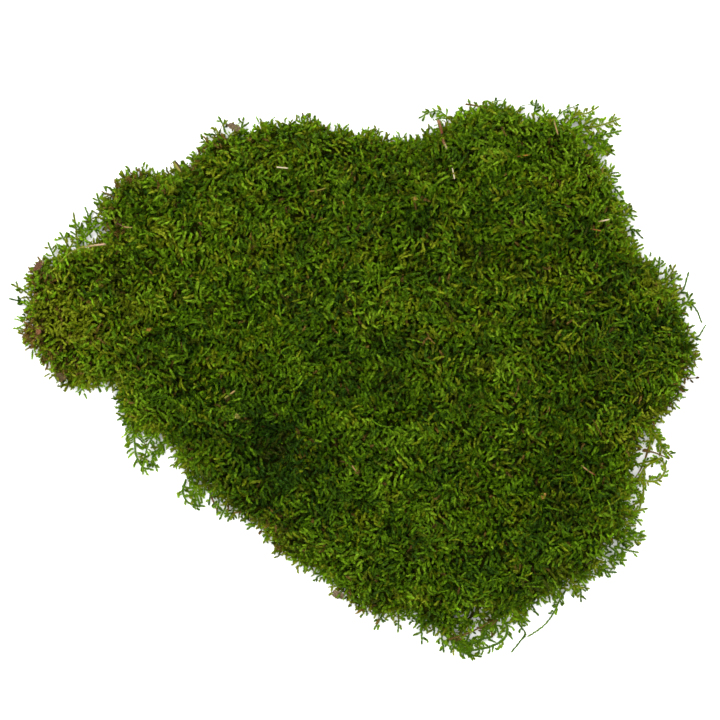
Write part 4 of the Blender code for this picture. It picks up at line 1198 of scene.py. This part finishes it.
# ---------------------------------------------------------------- the long strands
# Mostly at the right and along the bottom, longer and thinner shoots lie loosely on the
# others and weave in and out of them. They are leafy all along, olive to bright green.
# Each field: its middle, its width and height in mm, and how many strands it has
STRAND_FIELDS = [(132.0, 15.0, 32.0, 32.0, 110), (60.0, -105.0, 40.0, 16.0, 50),
                 (118.0, -70.0, 20.0, 30.0, 40), (0.0, 20.0, 120.0, 80.0, 50)]
STRAND_LEAVES = 22
STRAND_LENGTH_MM = (7.0, 14.0)


def lay_strands(rng):
    """Long bowed shoots on top of the others, round the middle of each field."""
    starts = []
    for x, y, wide, high, count in STRAND_FIELDS:
        starts.append(rng.normal(size=(count, 2)) * (0.6 * wide, 0.6 * high) + (x, y))
    start = np.concatenate(starts) * MM
    start = start[at(rim_depth, start) > 4.0 * MM]
    count = len(start)
    heading = rng.uniform(0.0, math.tau, count)
    length = rng.uniform(*STRAND_LENGTH_MM, count) * MM
    end = start + length[:, None] * plan_way(heading)
    kept = at(rim_depth, end) > 2.0 * MM
    start, end, heading, length = start[kept], end[kept], heading[kept], length[kept]
    count = len(start)
    base = np.c_[start, at(mat_swell, start) - rng.uniform(0.2, 2.2, count) * MM]
    tip = np.c_[end, at(mat_swell, end) - rng.uniform(0.2, 2.2, count) * MM]
    bow = rng.normal(0.0, BOW_SPREAD, (count, 1)) * length[:, None] * plan_way(heading + 0.5 * math.pi)
    bow = np.c_[bow, rng.uniform(0.4, 1.6, count) * MM]
    tone = tone_of(start, 0.54 + rng.normal(0.0, 0.12, count), rng.uniform(size=count), rng)
    return leafy(base, tip, bow, STRAND_LEAVES, rng.uniform(0.62, 0.8, count), tone, rng, (0.35, 0.94))


moss_piece("moss_strands", *lay_strands(np.random.default_rng(25)), "moss", "moss_mat")


# ---------------------------------------------------------------- needles, straws and twigs
# Fallen conifer needles, bits of dry grass straw and thin twigs lie on the tufts or half
# among them. All are dead and dry: needles half round and pointed, straws ribbed and
# hollow, twigs knotty. Each keeps the line of its solid.
def solid_corners(node_name):
    """The corners of a solid, each once."""
    corners = np.array([v.co[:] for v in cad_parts[node_name].data.vertices])
    return np.unique(np.round(corners, 7), axis=0)


def solid_line(node_name):
    """The middle line and greatest radius of a slender solid, from its rings of five corners."""
    corners = solid_corners(node_name)
    middle = corners.mean(axis=0)
    main = np.linalg.svd(corners - middle)[2][0]
    rings = corners[np.argsort((corners - middle) @ main)].reshape(-1, 5, 3)
    centres = rings.mean(axis=1)
    return centres, np.linalg.norm(rings - centres[:, None], axis=2).mean(axis=1).max()


def dry_fibre_group():
    """Node group: dead plant fibre that changes from one colour to another along its length."""
    group, enter, leave = new_group(
        "dry_fibre",
        [("Place", "Vector"), ("From", "Color"), ("To", "Color"), ("Turn", "Float"),
         ("Sharpness", "Float"), ("Streaks", "Float")],
        [("Color", "Color"), ("Roughness", "Float"), ("Height", "Float")])
    place = enter["Place"]
    along = add_node(group, "SeparateXYZ", Vector=place).outputs["X"]
    blotch = add_node(group, "TexNoise", Vector=place, Scale=6.0, Detail=4.0).outputs["Fac"]
    blotched = reckoned(group, "ADD", along, ranged(group, blotch, 0.3, 0.7, -0.3, 0.3))
    past_turn = reckoned(group, "SUBTRACT", blotched, enter["Turn"])
    share = reckoned(group, "MULTIPLY_ADD", past_turn, enter["Sharpness"], 0.5)
    share.node.use_clamp = True
    colour = mixed(group, share, enter["From"], enter["To"])
    stretch = add_node(group, "VectorMath")
    stretch.operation = "MULTIPLY"
    group.links.new(place, stretch.inputs[0])
    stretch.inputs[1].default_value = (5.0, 46.0, 1.0)
    streak = add_node(group, "TexNoise", Vector=stretch.outputs["Vector"], Scale=1.0, Detail=3.0,
                      Roughness=0.6).outputs["Fac"]
    depth = reckoned(group, "MULTIPLY", ranged(group, streak, 0.25, 0.75, -0.5, 0.5), enter["Streaks"])
    light = reckoned(group, "ADD", depth, 1.0)
    group.links.new(scaled_colour(group, colour, light), leave["Color"])
    group.links.new(ranged(group, streak, 0.3, 0.7, 0.62, 0.86), leave["Roughness"])
    group.links.new(streak, leave["Height"])
    return group


dry_fibre = dry_fibre_group()


def dry_finish(name, start_colour, end_colour, turn, sharpness, streaks):
    """A dead plant's material, changing along the piece from one colour to the other."""
    material, tree, shader = new_material(name, Specular_IOR_Level=0.08)
    fibre = coat(tree, shader, dry_fibre, Place=map_place(tree, "grain"), From=(*start_colour, 1.0),
                 To=(*end_colour, 1.0), Turn=turn, Sharpness=sharpness, Streaks=streaks)
    roughen(tree, shader, fibre.outputs["Height"], strength=0.5, distance=0.1 * MM)
    return material


def dry_piece(name, verts, faces, uv, material, slot, node_name):
    """A dry piece on the root body, in place of its solid."""
    mesh = bpy.data.meshes.new(name)
    mesh.from_pydata([tuple(v) for v in verts], [], faces)
    layer = mesh.uv_layers.new(name="grain")
    for loop, corner in zip(layer.data, mesh.loops):
        loop.uv = uv[corner.vertex_index]
    mesh.validate()
    mesh.polygons.foreach_set("use_smooth", [slot != "bark"] * len(mesh.polygons))
    place_piece(name, mesh, material, slot, node_name)


def rod(node_name, girth, section, sides=12, step=0.4):
    """A closed rod on a slender solid's line; girth gives its radius, section its outline."""
    centres, radius = solid_line(node_name)
    line = smooth_curve(centres / MM, step) * MM
    count = len(line)
    t = np.linspace(0.0, 1.0, count)
    along = unit(np.gradient(line, axis=0))
    side = unit(np.cross(along, np.array([0.0, 0.0, 1.0])))
    over = np.cross(side, along)
    thick = radius * girth(t)
    angle = math.tau * np.arange(sides) / sides
    wide, high = section(angle[None, :], t[:, None])
    verts = (line[:, None, :] + (thick[:, None] * wide)[:, :, None] * side[:, None, :]
             + (thick[:, None] * high)[:, :, None] * over[:, None, :]).reshape(-1, 3)
    first_pit, last_pit = 0.3 * (line[1] - line[0]), 0.3 * (line[-1] - line[-2])
    verts = np.concatenate([verts, line[:1] + first_pit, line[-1:] - last_pit])
    faces = []
    for i in range(count - 1):
        for k in range(sides):
            j = (k + 1) % sides
            faces.append((i * sides + k, i * sides + j, (i + 1) * sides + j, (i + 1) * sides + k))
    first, last = len(verts) - 2, len(verts) - 1
    for k in range(sides):
        j = (k + 1) % sides
        faces.append((first, j, k))
        faces.append((last, (count - 1) * sides + k, (count - 1) * sides + j))
    uv = [(t[i], k / sides) for i in range(count) for k in range(sides)] + [(0.0, 0.5), (1.0, 0.5)]
    return verts, faces, uv


def needle_girth(t):
    """Thickest past its foot, drawn out to a point."""
    return 0.74 * np.clip(0.65 + 2.0 * t, 0.0, 1.0) * np.clip((1.04 - t) * 4.0, 0.0, 1.0) ** 0.6


def needle_section(angle, t):
    """Half round, with a shallow groove down the top."""
    high = np.where(np.sin(angle) > 0.0, 0.75 * np.sin(angle), 0.45 * np.sin(angle))
    groove = 0.22 * np.exp(-((np.cos(angle) / 0.30) ** 2)) * (np.sin(angle) > 0.0)
    return np.cos(angle) + 0.0 * t, high - groove + 0.0 * t


def straw_girth(t):
    """Even, with one knot."""
    knot = 0.16 * np.exp(-((t - 0.68) / 0.03) ** 2)
    return 0.74 + knot - 0.10 * t


def long_straw_girth(t):
    """Thin for two thirds of its length, thicker beyond, flared at its torn end."""
    return 0.46 + 0.26 / (1.0 + np.exp(-30.0 * (t - 0.66))) + 0.25 * np.exp(-((t - 0.97) / 0.04) ** 2)


def straw_section(angle, t):
    """A ribbed tube, flattened where it was trodden on, torn at both ends."""
    rib = 1.0 + 0.07 * np.cos(6.0 * angle)
    flat = 0.62 + 0.20 * np.sin(5.0 * t + 0.6)
    return rib * np.cos(angle), rib * flat * np.sin(angle)


def twig_girth(t):
    """Uneven, with two knots, a little thinner at its end."""
    knots = 0.22 * np.exp(-((t - 0.22) / 0.05) ** 2) + 0.18 * np.exp(-((t - 0.63) / 0.05) ** 2)
    return 0.96 + knots + 0.05 * np.sin(17.0 * t) - 0.14 * t


def twig_section(angle, t):
    """Uneven bark with furrows that wander along it."""
    furrow = 1.0 + 0.09 * np.sin(4.0 * angle + 5.0 * t) + 0.05 * np.sin(7.0 * angle - 11.0 * t)
    return furrow * np.cos(angle), furrow * np.sin(angle)


TAN, CREAM, PINK_TAN = (0.200, 0.128, 0.048), (0.320, 0.270, 0.175), (0.175, 0.106, 0.052)
OCHRE, RUST, UMBER = (0.112, 0.070, 0.010), (0.084, 0.024, 0.008), (0.034, 0.015, 0.008)
OLIVE_STRAW, ORANGE = (0.112, 0.112, 0.016), (0.170, 0.082, 0.010)
PINK_CREAM = (0.290, 0.195, 0.120)
TWIG_BROWN, TWIG_DARK = (0.140, 0.072, 0.032), (0.096, 0.044, 0.018)
TWIG_PALE = (0.205, 0.180, 0.085)

# Each needle, straw or twig: its solid's name, its colours at its two ends, and where along it
# and how sharply the one turns into the other
NEEDLES = [
    ("needle_1", UMBER, TAN, 0.55, 3.0), ("needle_2", PINK_TAN, TAN, 0.50, 1.0),
    ("needle_3", PINK_TAN, CREAM, 0.35, 3.0), ("needle_4", RUST, ORANGE, 0.50, 1.0),
    ("needle_5", TAN, RUST, 0.55, 1.5), ("needle_6", TAN, OCHRE, 0.60, 1.0),
    ("needle_7", OCHRE, OLIVE_STRAW, 0.50, 1.0), ("needle_8", ORANGE, OCHRE, 0.50, 1.0),
    ("needle_9", RUST, ORANGE, 0.35, 4.0),
]
STRAWS = [("straw_1", OLIVE_STRAW, PINK_CREAM, 0.66, 5.0), ("straw_2", OLIVE_STRAW, TAN, 0.45, 2.0),
          ("straw_3", CREAM, CREAM, 0.50, 1.0), ("straw_4", CREAM, CREAM, 0.50, 1.0)]
TWIGS = [("twig_1", TWIG_BROWN, RUST, 0.45, 2.0), ("twig_2", TWIG_DARK, TWIG_PALE, 0.55, 4.0)]


for node_name, *look in NEEDLES:
    dry_piece(f"dry_{node_name}", *rod(node_name, needle_girth, needle_section),
              dry_finish(f"{node_name}_skin", *look, 0.5), "needle", node_name)
for node_name, *look in STRAWS:
    girth = long_straw_girth if node_name == "straw_1" else straw_girth
    dry_piece(f"dry_{node_name}", *rod(node_name, girth, straw_section),
              dry_finish(f"{node_name}_skin", *look, 0.6), "straw", node_name)
for node_name, *look in TWIGS:
    dry_piece(f"dry_{node_name}", *rod(node_name, twig_girth, twig_section),
              dry_finish(f"{node_name}_bark", *look, 0.9), "needle", node_name)
dry_piece("bare_dead_stem", *rod("dead_stem", twig_girth, twig_section, sides=8),
          dry_finish("dead_stem_bark", UMBER, PINK_TAN, 0.6, 1.0, 0.8), "bark", "dead_stem")


# ---------------------------------------------------------------- the bark flakes
# Thin scales of bark that fell on the moss: layered, cracked and chipped at their edges,
# grey brown to rust. Each has the outline and lie of its solid.
FLAKE_SIDES = 56
FLAKE_RINGS = (0.22, 0.45, 0.66, 0.84, 0.95)
FLAKE_GRAIN = 60.0


def flat_solid(node_name):
    """A flat solid's middle, its long, cross and upright axes, and its corners along them."""
    corners = solid_corners(node_name)
    middle = corners.mean(axis=0)
    axes = np.linalg.svd(corners - middle)[2]
    if axes[2][2] < 0.0:
        axes[2] = -axes[2]
    axes[1] = np.cross(axes[2], axes[0])
    return middle, axes, (corners - middle) @ axes.T


def flake_mesh(node_name, seed):
    """A layered scale over a flat solid's outline: vertices, faces and places on its grain."""
    middle, axes, local = flat_solid(node_name)
    half_thick = 0.5 * (local[:, 2].max() - local[:, 2].min())
    edge = local[np.abs(local[:, 2]) < 0.4 * half_thick]
    bearing = np.arctan2(edge[:, 1], edge[:, 0])
    order = np.argsort(bearing)
    bearing, spoke = bearing[order], np.hypot(edge[:, 0], edge[:, 1])[order]
    angle = math.tau * np.arange(FLAKE_SIDES) / FLAKE_SIDES - math.pi
    rim = np.interp(angle, bearing, spoke, period=math.tau)
    rng = np.random.default_rng(seed)
    ragged = [noise.noise(Vector((1.3 * math.cos(a), 1.3 * math.sin(a), seed)))
              + 0.7 * noise.noise(Vector((4.0 * math.cos(a), 4.0 * math.sin(a), seed + 5.0)))
              + 0.4 * noise.noise(Vector((11.0 * math.cos(a), 11.0 * math.sin(a), seed + 9.0)))
              for a in angle]
    rim = rim * np.clip(0.98 + 0.42 * np.array(ragged), 0.55, 1.10)
    verts, uv = [], []
    for side in (1.0, -1.0):
        for share in FLAKE_RINGS:
            for k in range(FLAKE_SIDES):
                x, y = share * rim[k] * math.cos(angle[k]), share * rim[k] * math.sin(angle[k])
                grain = noise.noise(Vector((x * 350.0, y * 1100.0, seed + 2.0 * side)))
                layer = 0.34 * math.floor(3.0 * (grain + 0.5)) / 3.0
                layer *= 1.0 if side > 0.0 else 0.4
                z = side * half_thick * (0.92 - 0.55 * share ** 2 + layer - 0.2)
                verts.append((x, y, z))
                uv.append((0.5 + x * FLAKE_GRAIN, 0.5 + y * FLAKE_GRAIN))
    for k in range(FLAKE_SIDES):
        x, y = rim[k] * math.cos(angle[k]), rim[k] * math.sin(angle[k])
        verts.append((x, y, rng.uniform(-0.12, 0.12) * half_thick))
        uv.append((0.5 + x * FLAKE_GRAIN, 0.5 + y * FLAKE_GRAIN))
    verts += [(0.0, 0.0, 0.8 * half_thick), (0.0, 0.0, -0.8 * half_thick)]
    uv += [(0.5, 0.5), (0.5, 0.5)]
    rings = len(FLAKE_RINGS)
    outer = 2 * rings * FLAKE_SIDES
    faces = []
    for k in range(FLAKE_SIDES):
        j = (k + 1) % FLAKE_SIDES
        for side in (0, 1):
            start = side * rings * FLAKE_SIDES
            centre = outer + FLAKE_SIDES + side
            loops = [(start + r * FLAKE_SIDES + k, start + r * FLAKE_SIDES + j) for r in range(rings)]
            loops.append((outer + k, outer + j))
            strip = [(centre, loops[0][0], loops[0][1])]
            for (a, b), (c, d) in zip(loops, loops[1:]):
                strip += [(a, c, d), (a, d, b)]
            faces += strip if side == 0 else [f[::-1] for f in strip]
    verts = middle + np.array(verts) @ axes
    return verts, faces, uv


def bark_finish(name, dark, pale):
    """Bark: dark in its cracks, paler on the worn tops of its layers."""
    material, tree, shader = new_material(name, Roughness=0.88, Specular_IOR_Level=0.06)
    where = add_node(tree, "TexCoord").outputs["Object"]
    plates = add_node(tree, "TexVoronoi", Vector=where, Scale=900.0)
    plates.feature = "DISTANCE_TO_EDGE"
    crack = ranged(tree, plates.outputs["Distance"], 0.0, 0.16, 0.0, 0.55)
    rough = add_node(tree, "TexNoise", Vector=where, Scale=620.0, Detail=6.0, Roughness=0.7)
    worn = reckoned(tree, "MULTIPLY_ADD", rough.outputs["Fac"], 0.9, crack)
    middle = tuple(0.5 * (a + b) for a, b in zip(dark, pale))
    colour = colour_ramp(tree, worn, [(0.35, dark), (0.7, middle), (1.0, pale)])
    tree.links.new(colour, shader.inputs["Base Color"])
    roughen(tree, shader, worn, strength=0.9, distance=0.25 * MM)
    return material


# Each flake: its colour in the cracks and on its worn layers
FLAKES = [
    ("bark_flake_1", (0.0200, 0.0090, 0.0045), (0.094, 0.047, 0.024)),
    ("bark_flake_2", (0.0380, 0.0140, 0.0060), (0.140, 0.063, 0.028)),
    ("bark_flake_3", (0.0300, 0.0190, 0.0090), (0.105, 0.078, 0.044)),
    ("bark_flake_4", (0.0120, 0.0085, 0.0032), (0.068, 0.050, 0.021)),
    ("bark_flake_5", (0.0300, 0.0180, 0.0085), (0.130, 0.098, 0.058)),
    ("bark_flake_6", (0.0400, 0.0180, 0.0025), (0.205, 0.120, 0.024)),
    ("bark_flake_7", (0.0260, 0.0250, 0.0030), (0.175, 0.160, 0.034)),
    ("bark_flake_8", (0.0420, 0.0190, 0.0025), (0.175, 0.100, 0.014)),
    ("bark_flake_9", (0.0300, 0.0150, 0.0025), (0.185, 0.120, 0.026)),
]
for number, (node_name, dark, pale) in enumerate(FLAKES):
    dry_piece(f"scale_{node_name}", *flake_mesh(node_name, 60 + number),
              bark_finish(f"{node_name}_bark", dark, pale), "bark", node_name)


# ---------------------------------------------------------------- the dry leaf
# One narrow leaf, dried and curled up along its edges, ochre with a browned border
# and a raised midrib. It lies on the shoots at the upper left.
LEAF_ROWS = 26
LEAF_COLUMNS = 10
BLADE_THICKNESS = 0.14 * MM
BLADE_SPREAD = 0.62
BLADE_TONES = [(0.28, (0.070, 0.064, 0.010)), (0.42, (0.110, 0.108, 0.014)),
               (0.66, (0.130, 0.128, 0.018)), (0.76, (0.165, 0.155, 0.040)),
               (0.82, (0.060, 0.044, 0.010)), (1.00, (0.030, 0.016, 0.006))]


def curled_leaf(node_name):
    """A thin blade over its solid, hollow along its middle: vertices, faces and grain places."""
    middle, axes, local = flat_solid(node_name)
    low, high = local.min(axis=0), local.max(axis=0)
    verts, uv = [], []
    for layer in (0, 1):
        for i in range(LEAF_ROWS + 1):
            t = i / LEAF_ROWS
            taper = math.sin(math.pi * (0.10 + 0.84 * t ** 0.8)) ** 0.6
            half_width = BLADE_SPREAD * (high[1] - low[1]) * taper
            for j in range(LEAF_COLUMNS + 1):
                s = 2.0 * j / LEAF_COLUMNS - 1.0
                crinkle = 0.07 * noise.noise(Vector((6.0 * t, 2.0 * s, 3.0)))
                lift = 0.20 + 0.55 * s * s + crinkle + 0.10 * (abs(s) < 0.15)
                rise = low[2] + (high[2] - low[2]) * lift
                verts.append((low[0] + (high[0] - low[0]) * t, s * half_width * (1.0 - 0.12 * s * s),
                              rise - layer * BLADE_THICKNESS))
                uv.append((t, j / LEAF_COLUMNS))
    wide = LEAF_COLUMNS + 1
    sheet = wide * (LEAF_ROWS + 1)
    faces = []
    for i in range(LEAF_ROWS):
        for j in range(LEAF_COLUMNS):
            a = i * wide + j
            faces.append((a, a + wide, a + wide + 1, a + 1))
            faces.append((a + sheet, a + 1 + sheet, a + wide + 1 + sheet, a + wide + sheet))
    rim = ([j for j in range(wide)] + [(i + 1) * wide - 1 for i in range(1, LEAF_ROWS + 1)]
           + [LEAF_ROWS * wide + j for j in range(LEAF_COLUMNS - 1, -1, -1)]
           + [i * wide for i in range(LEAF_ROWS - 1, 0, -1)])
    for a, b in zip(rim, rim[1:] + rim[:1]):
        faces.append((a, b, b + sheet, a + sheet))
    verts = middle + np.array(verts) @ axes
    return verts, faces, uv


def blade_finish():
    """A dried blade: ochre, browned at one border, paler along its midrib, with raised veins."""
    material, tree, shader = new_material("dry_leaf_blade", Roughness=0.6, Specular_IOR_Level=0.10)
    place = map_place(tree, "grain")
    across = add_node(tree, "SeparateXYZ", Vector=place).outputs["Y"]
    blotch = add_node(tree, "TexNoise", Vector=place, Scale=7.0, Detail=6.0, Roughness=0.65)
    reach = reckoned(tree, "MULTIPLY_ADD", blotch.outputs["Fac"], 0.5, across)
    tree.links.new(colour_ramp(tree, reach, BLADE_TONES), shader.inputs["Base Color"])
    veins = add_node(tree, "TexWave", Vector=place, Scale=9.0, Distortion=1.5)
    roughen(tree, shader, veins.outputs["Fac"], strength=0.4, distance=0.1 * MM)
    return material


dry_piece("curled_dry_leaf", *curled_leaf("dry_leaf"), blade_finish(), "dry_leaf", "dry_leaf")


# ---------------------------------------------------------------- shoots over the litter
# The litter has lain there for a while: shoots at its sides and ends have grown up past it
# and lean over it, so that parts of it are hidden. They belong to the mat.
OVERGROWTH_LEAVES = 10

# How many shoots lean over each piece of litter
LEANING = {
    "straw_1": 11, "straw_2": 4, "straw_3": 4, "straw_4": 5, "needle_1": 7, "needle_2": 4,
    "needle_3": 3, "needle_4": 4, "needle_5": 3, "needle_6": 3, "needle_7": 7, "needle_8": 4,
    "needle_9": 4, "twig_1": 9, "twig_2": 7, "bark_flake_1": 4, "bark_flake_2": 6, "bark_flake_3": 3,
    "bark_flake_4": 8, "bark_flake_5": 6, "bark_flake_6": 6, "bark_flake_7": 6, "bark_flake_8": 7,
    "bark_flake_9": 5, "dry_leaf": 1,
}


def litter_axis(node_name):
    """The two ends of a piece's middle line in plan, its half width and its corners."""
    corners = np.array([v.co[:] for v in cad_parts[node_name].data.vertices])
    middle = corners.mean(axis=0)
    plan = corners[:, :2] - middle[:2]
    main = np.linalg.svd(plan)[2][0]
    along, across = plan @ main, plan @ np.array([-main[1], main[0]])
    start, end = middle[:2] + along.min() * main, middle[:2] + along.max() * main
    return start, end, 0.5 * (across.max() - across.min()), corners


def lean_over(rng):
    """Base, tip, bow, size and tone of the shoots that lean over the litter."""
    shoots = []
    for node_name, count in LEANING.items():
        start, end, half_width, corners = litter_axis(node_name)
        run = unit(end - start)
        beside = np.array([-run[1], run[0]]) * np.where(rng.uniform(size=(count, 1)) < 0.5, -1.0, 1.0)
        share = rng.uniform(0.0, 1.0, (count, 1))
        share = np.where(share < 0.3, 0.02, np.where(share > 0.7, 0.98, share))
        target = start + (end - start) * np.clip(share + rng.normal(0.0, 0.04, (count, 1)), 0.0, 1.0)
        near = np.argmin(np.linalg.norm(corners[None, :, :2] - target[:, None], axis=2), axis=1)
        litter_top = corners[near, 2] + 0.25 * MM
        foot = target + beside * (half_width + rng.uniform(1.2, 2.8, (count, 1)) * MM)
        foot = foot + run * rng.uniform(-2.0, 2.0, (count, 1)) * MM
        over = target - beside * (0.5 * half_width + rng.uniform(-0.6, 0.8, (count, 1)) * MM)
        over = over + run * rng.uniform(-1.0, 1.0, (count, 1)) * MM
        shoulder = np.minimum(at(mat_swell, foot), litter_top)
        foot_z = np.maximum(shoulder - rng.uniform(1.5, 2.5, count) * MM, 1.0 * MM)
        tip_z = np.minimum(litter_top + rng.uniform(0.2, 0.7, count) * MM, cad_box[1][2] - 0.5 * MM)
        base, tip = np.c_[foot, foot_z], np.c_[over, tip_z]
        bow = np.c_[rng.normal(0.0, 0.3, (count, 2)) * MM, rng.uniform(0.5, 0.9, count) * MM]
        shade = 0.52 + rng.normal(0.0, 0.14, count)
        tone = tone_of(over, shade, rng.uniform(size=count), rng)
        shoots.append([base, tip, bow, rng.uniform(0.62, 0.85, count), tone])
    return [np.concatenate(parts) for parts in zip(*shoots)]


rng = np.random.default_rng(26)
base, tip, bow, size, tone = lean_over(rng)
moss_piece("moss_over_litter", *leafy(base, tip, bow, OVERGROWTH_LEAVES, size, tone, rng),
           "moss", "moss_mat")
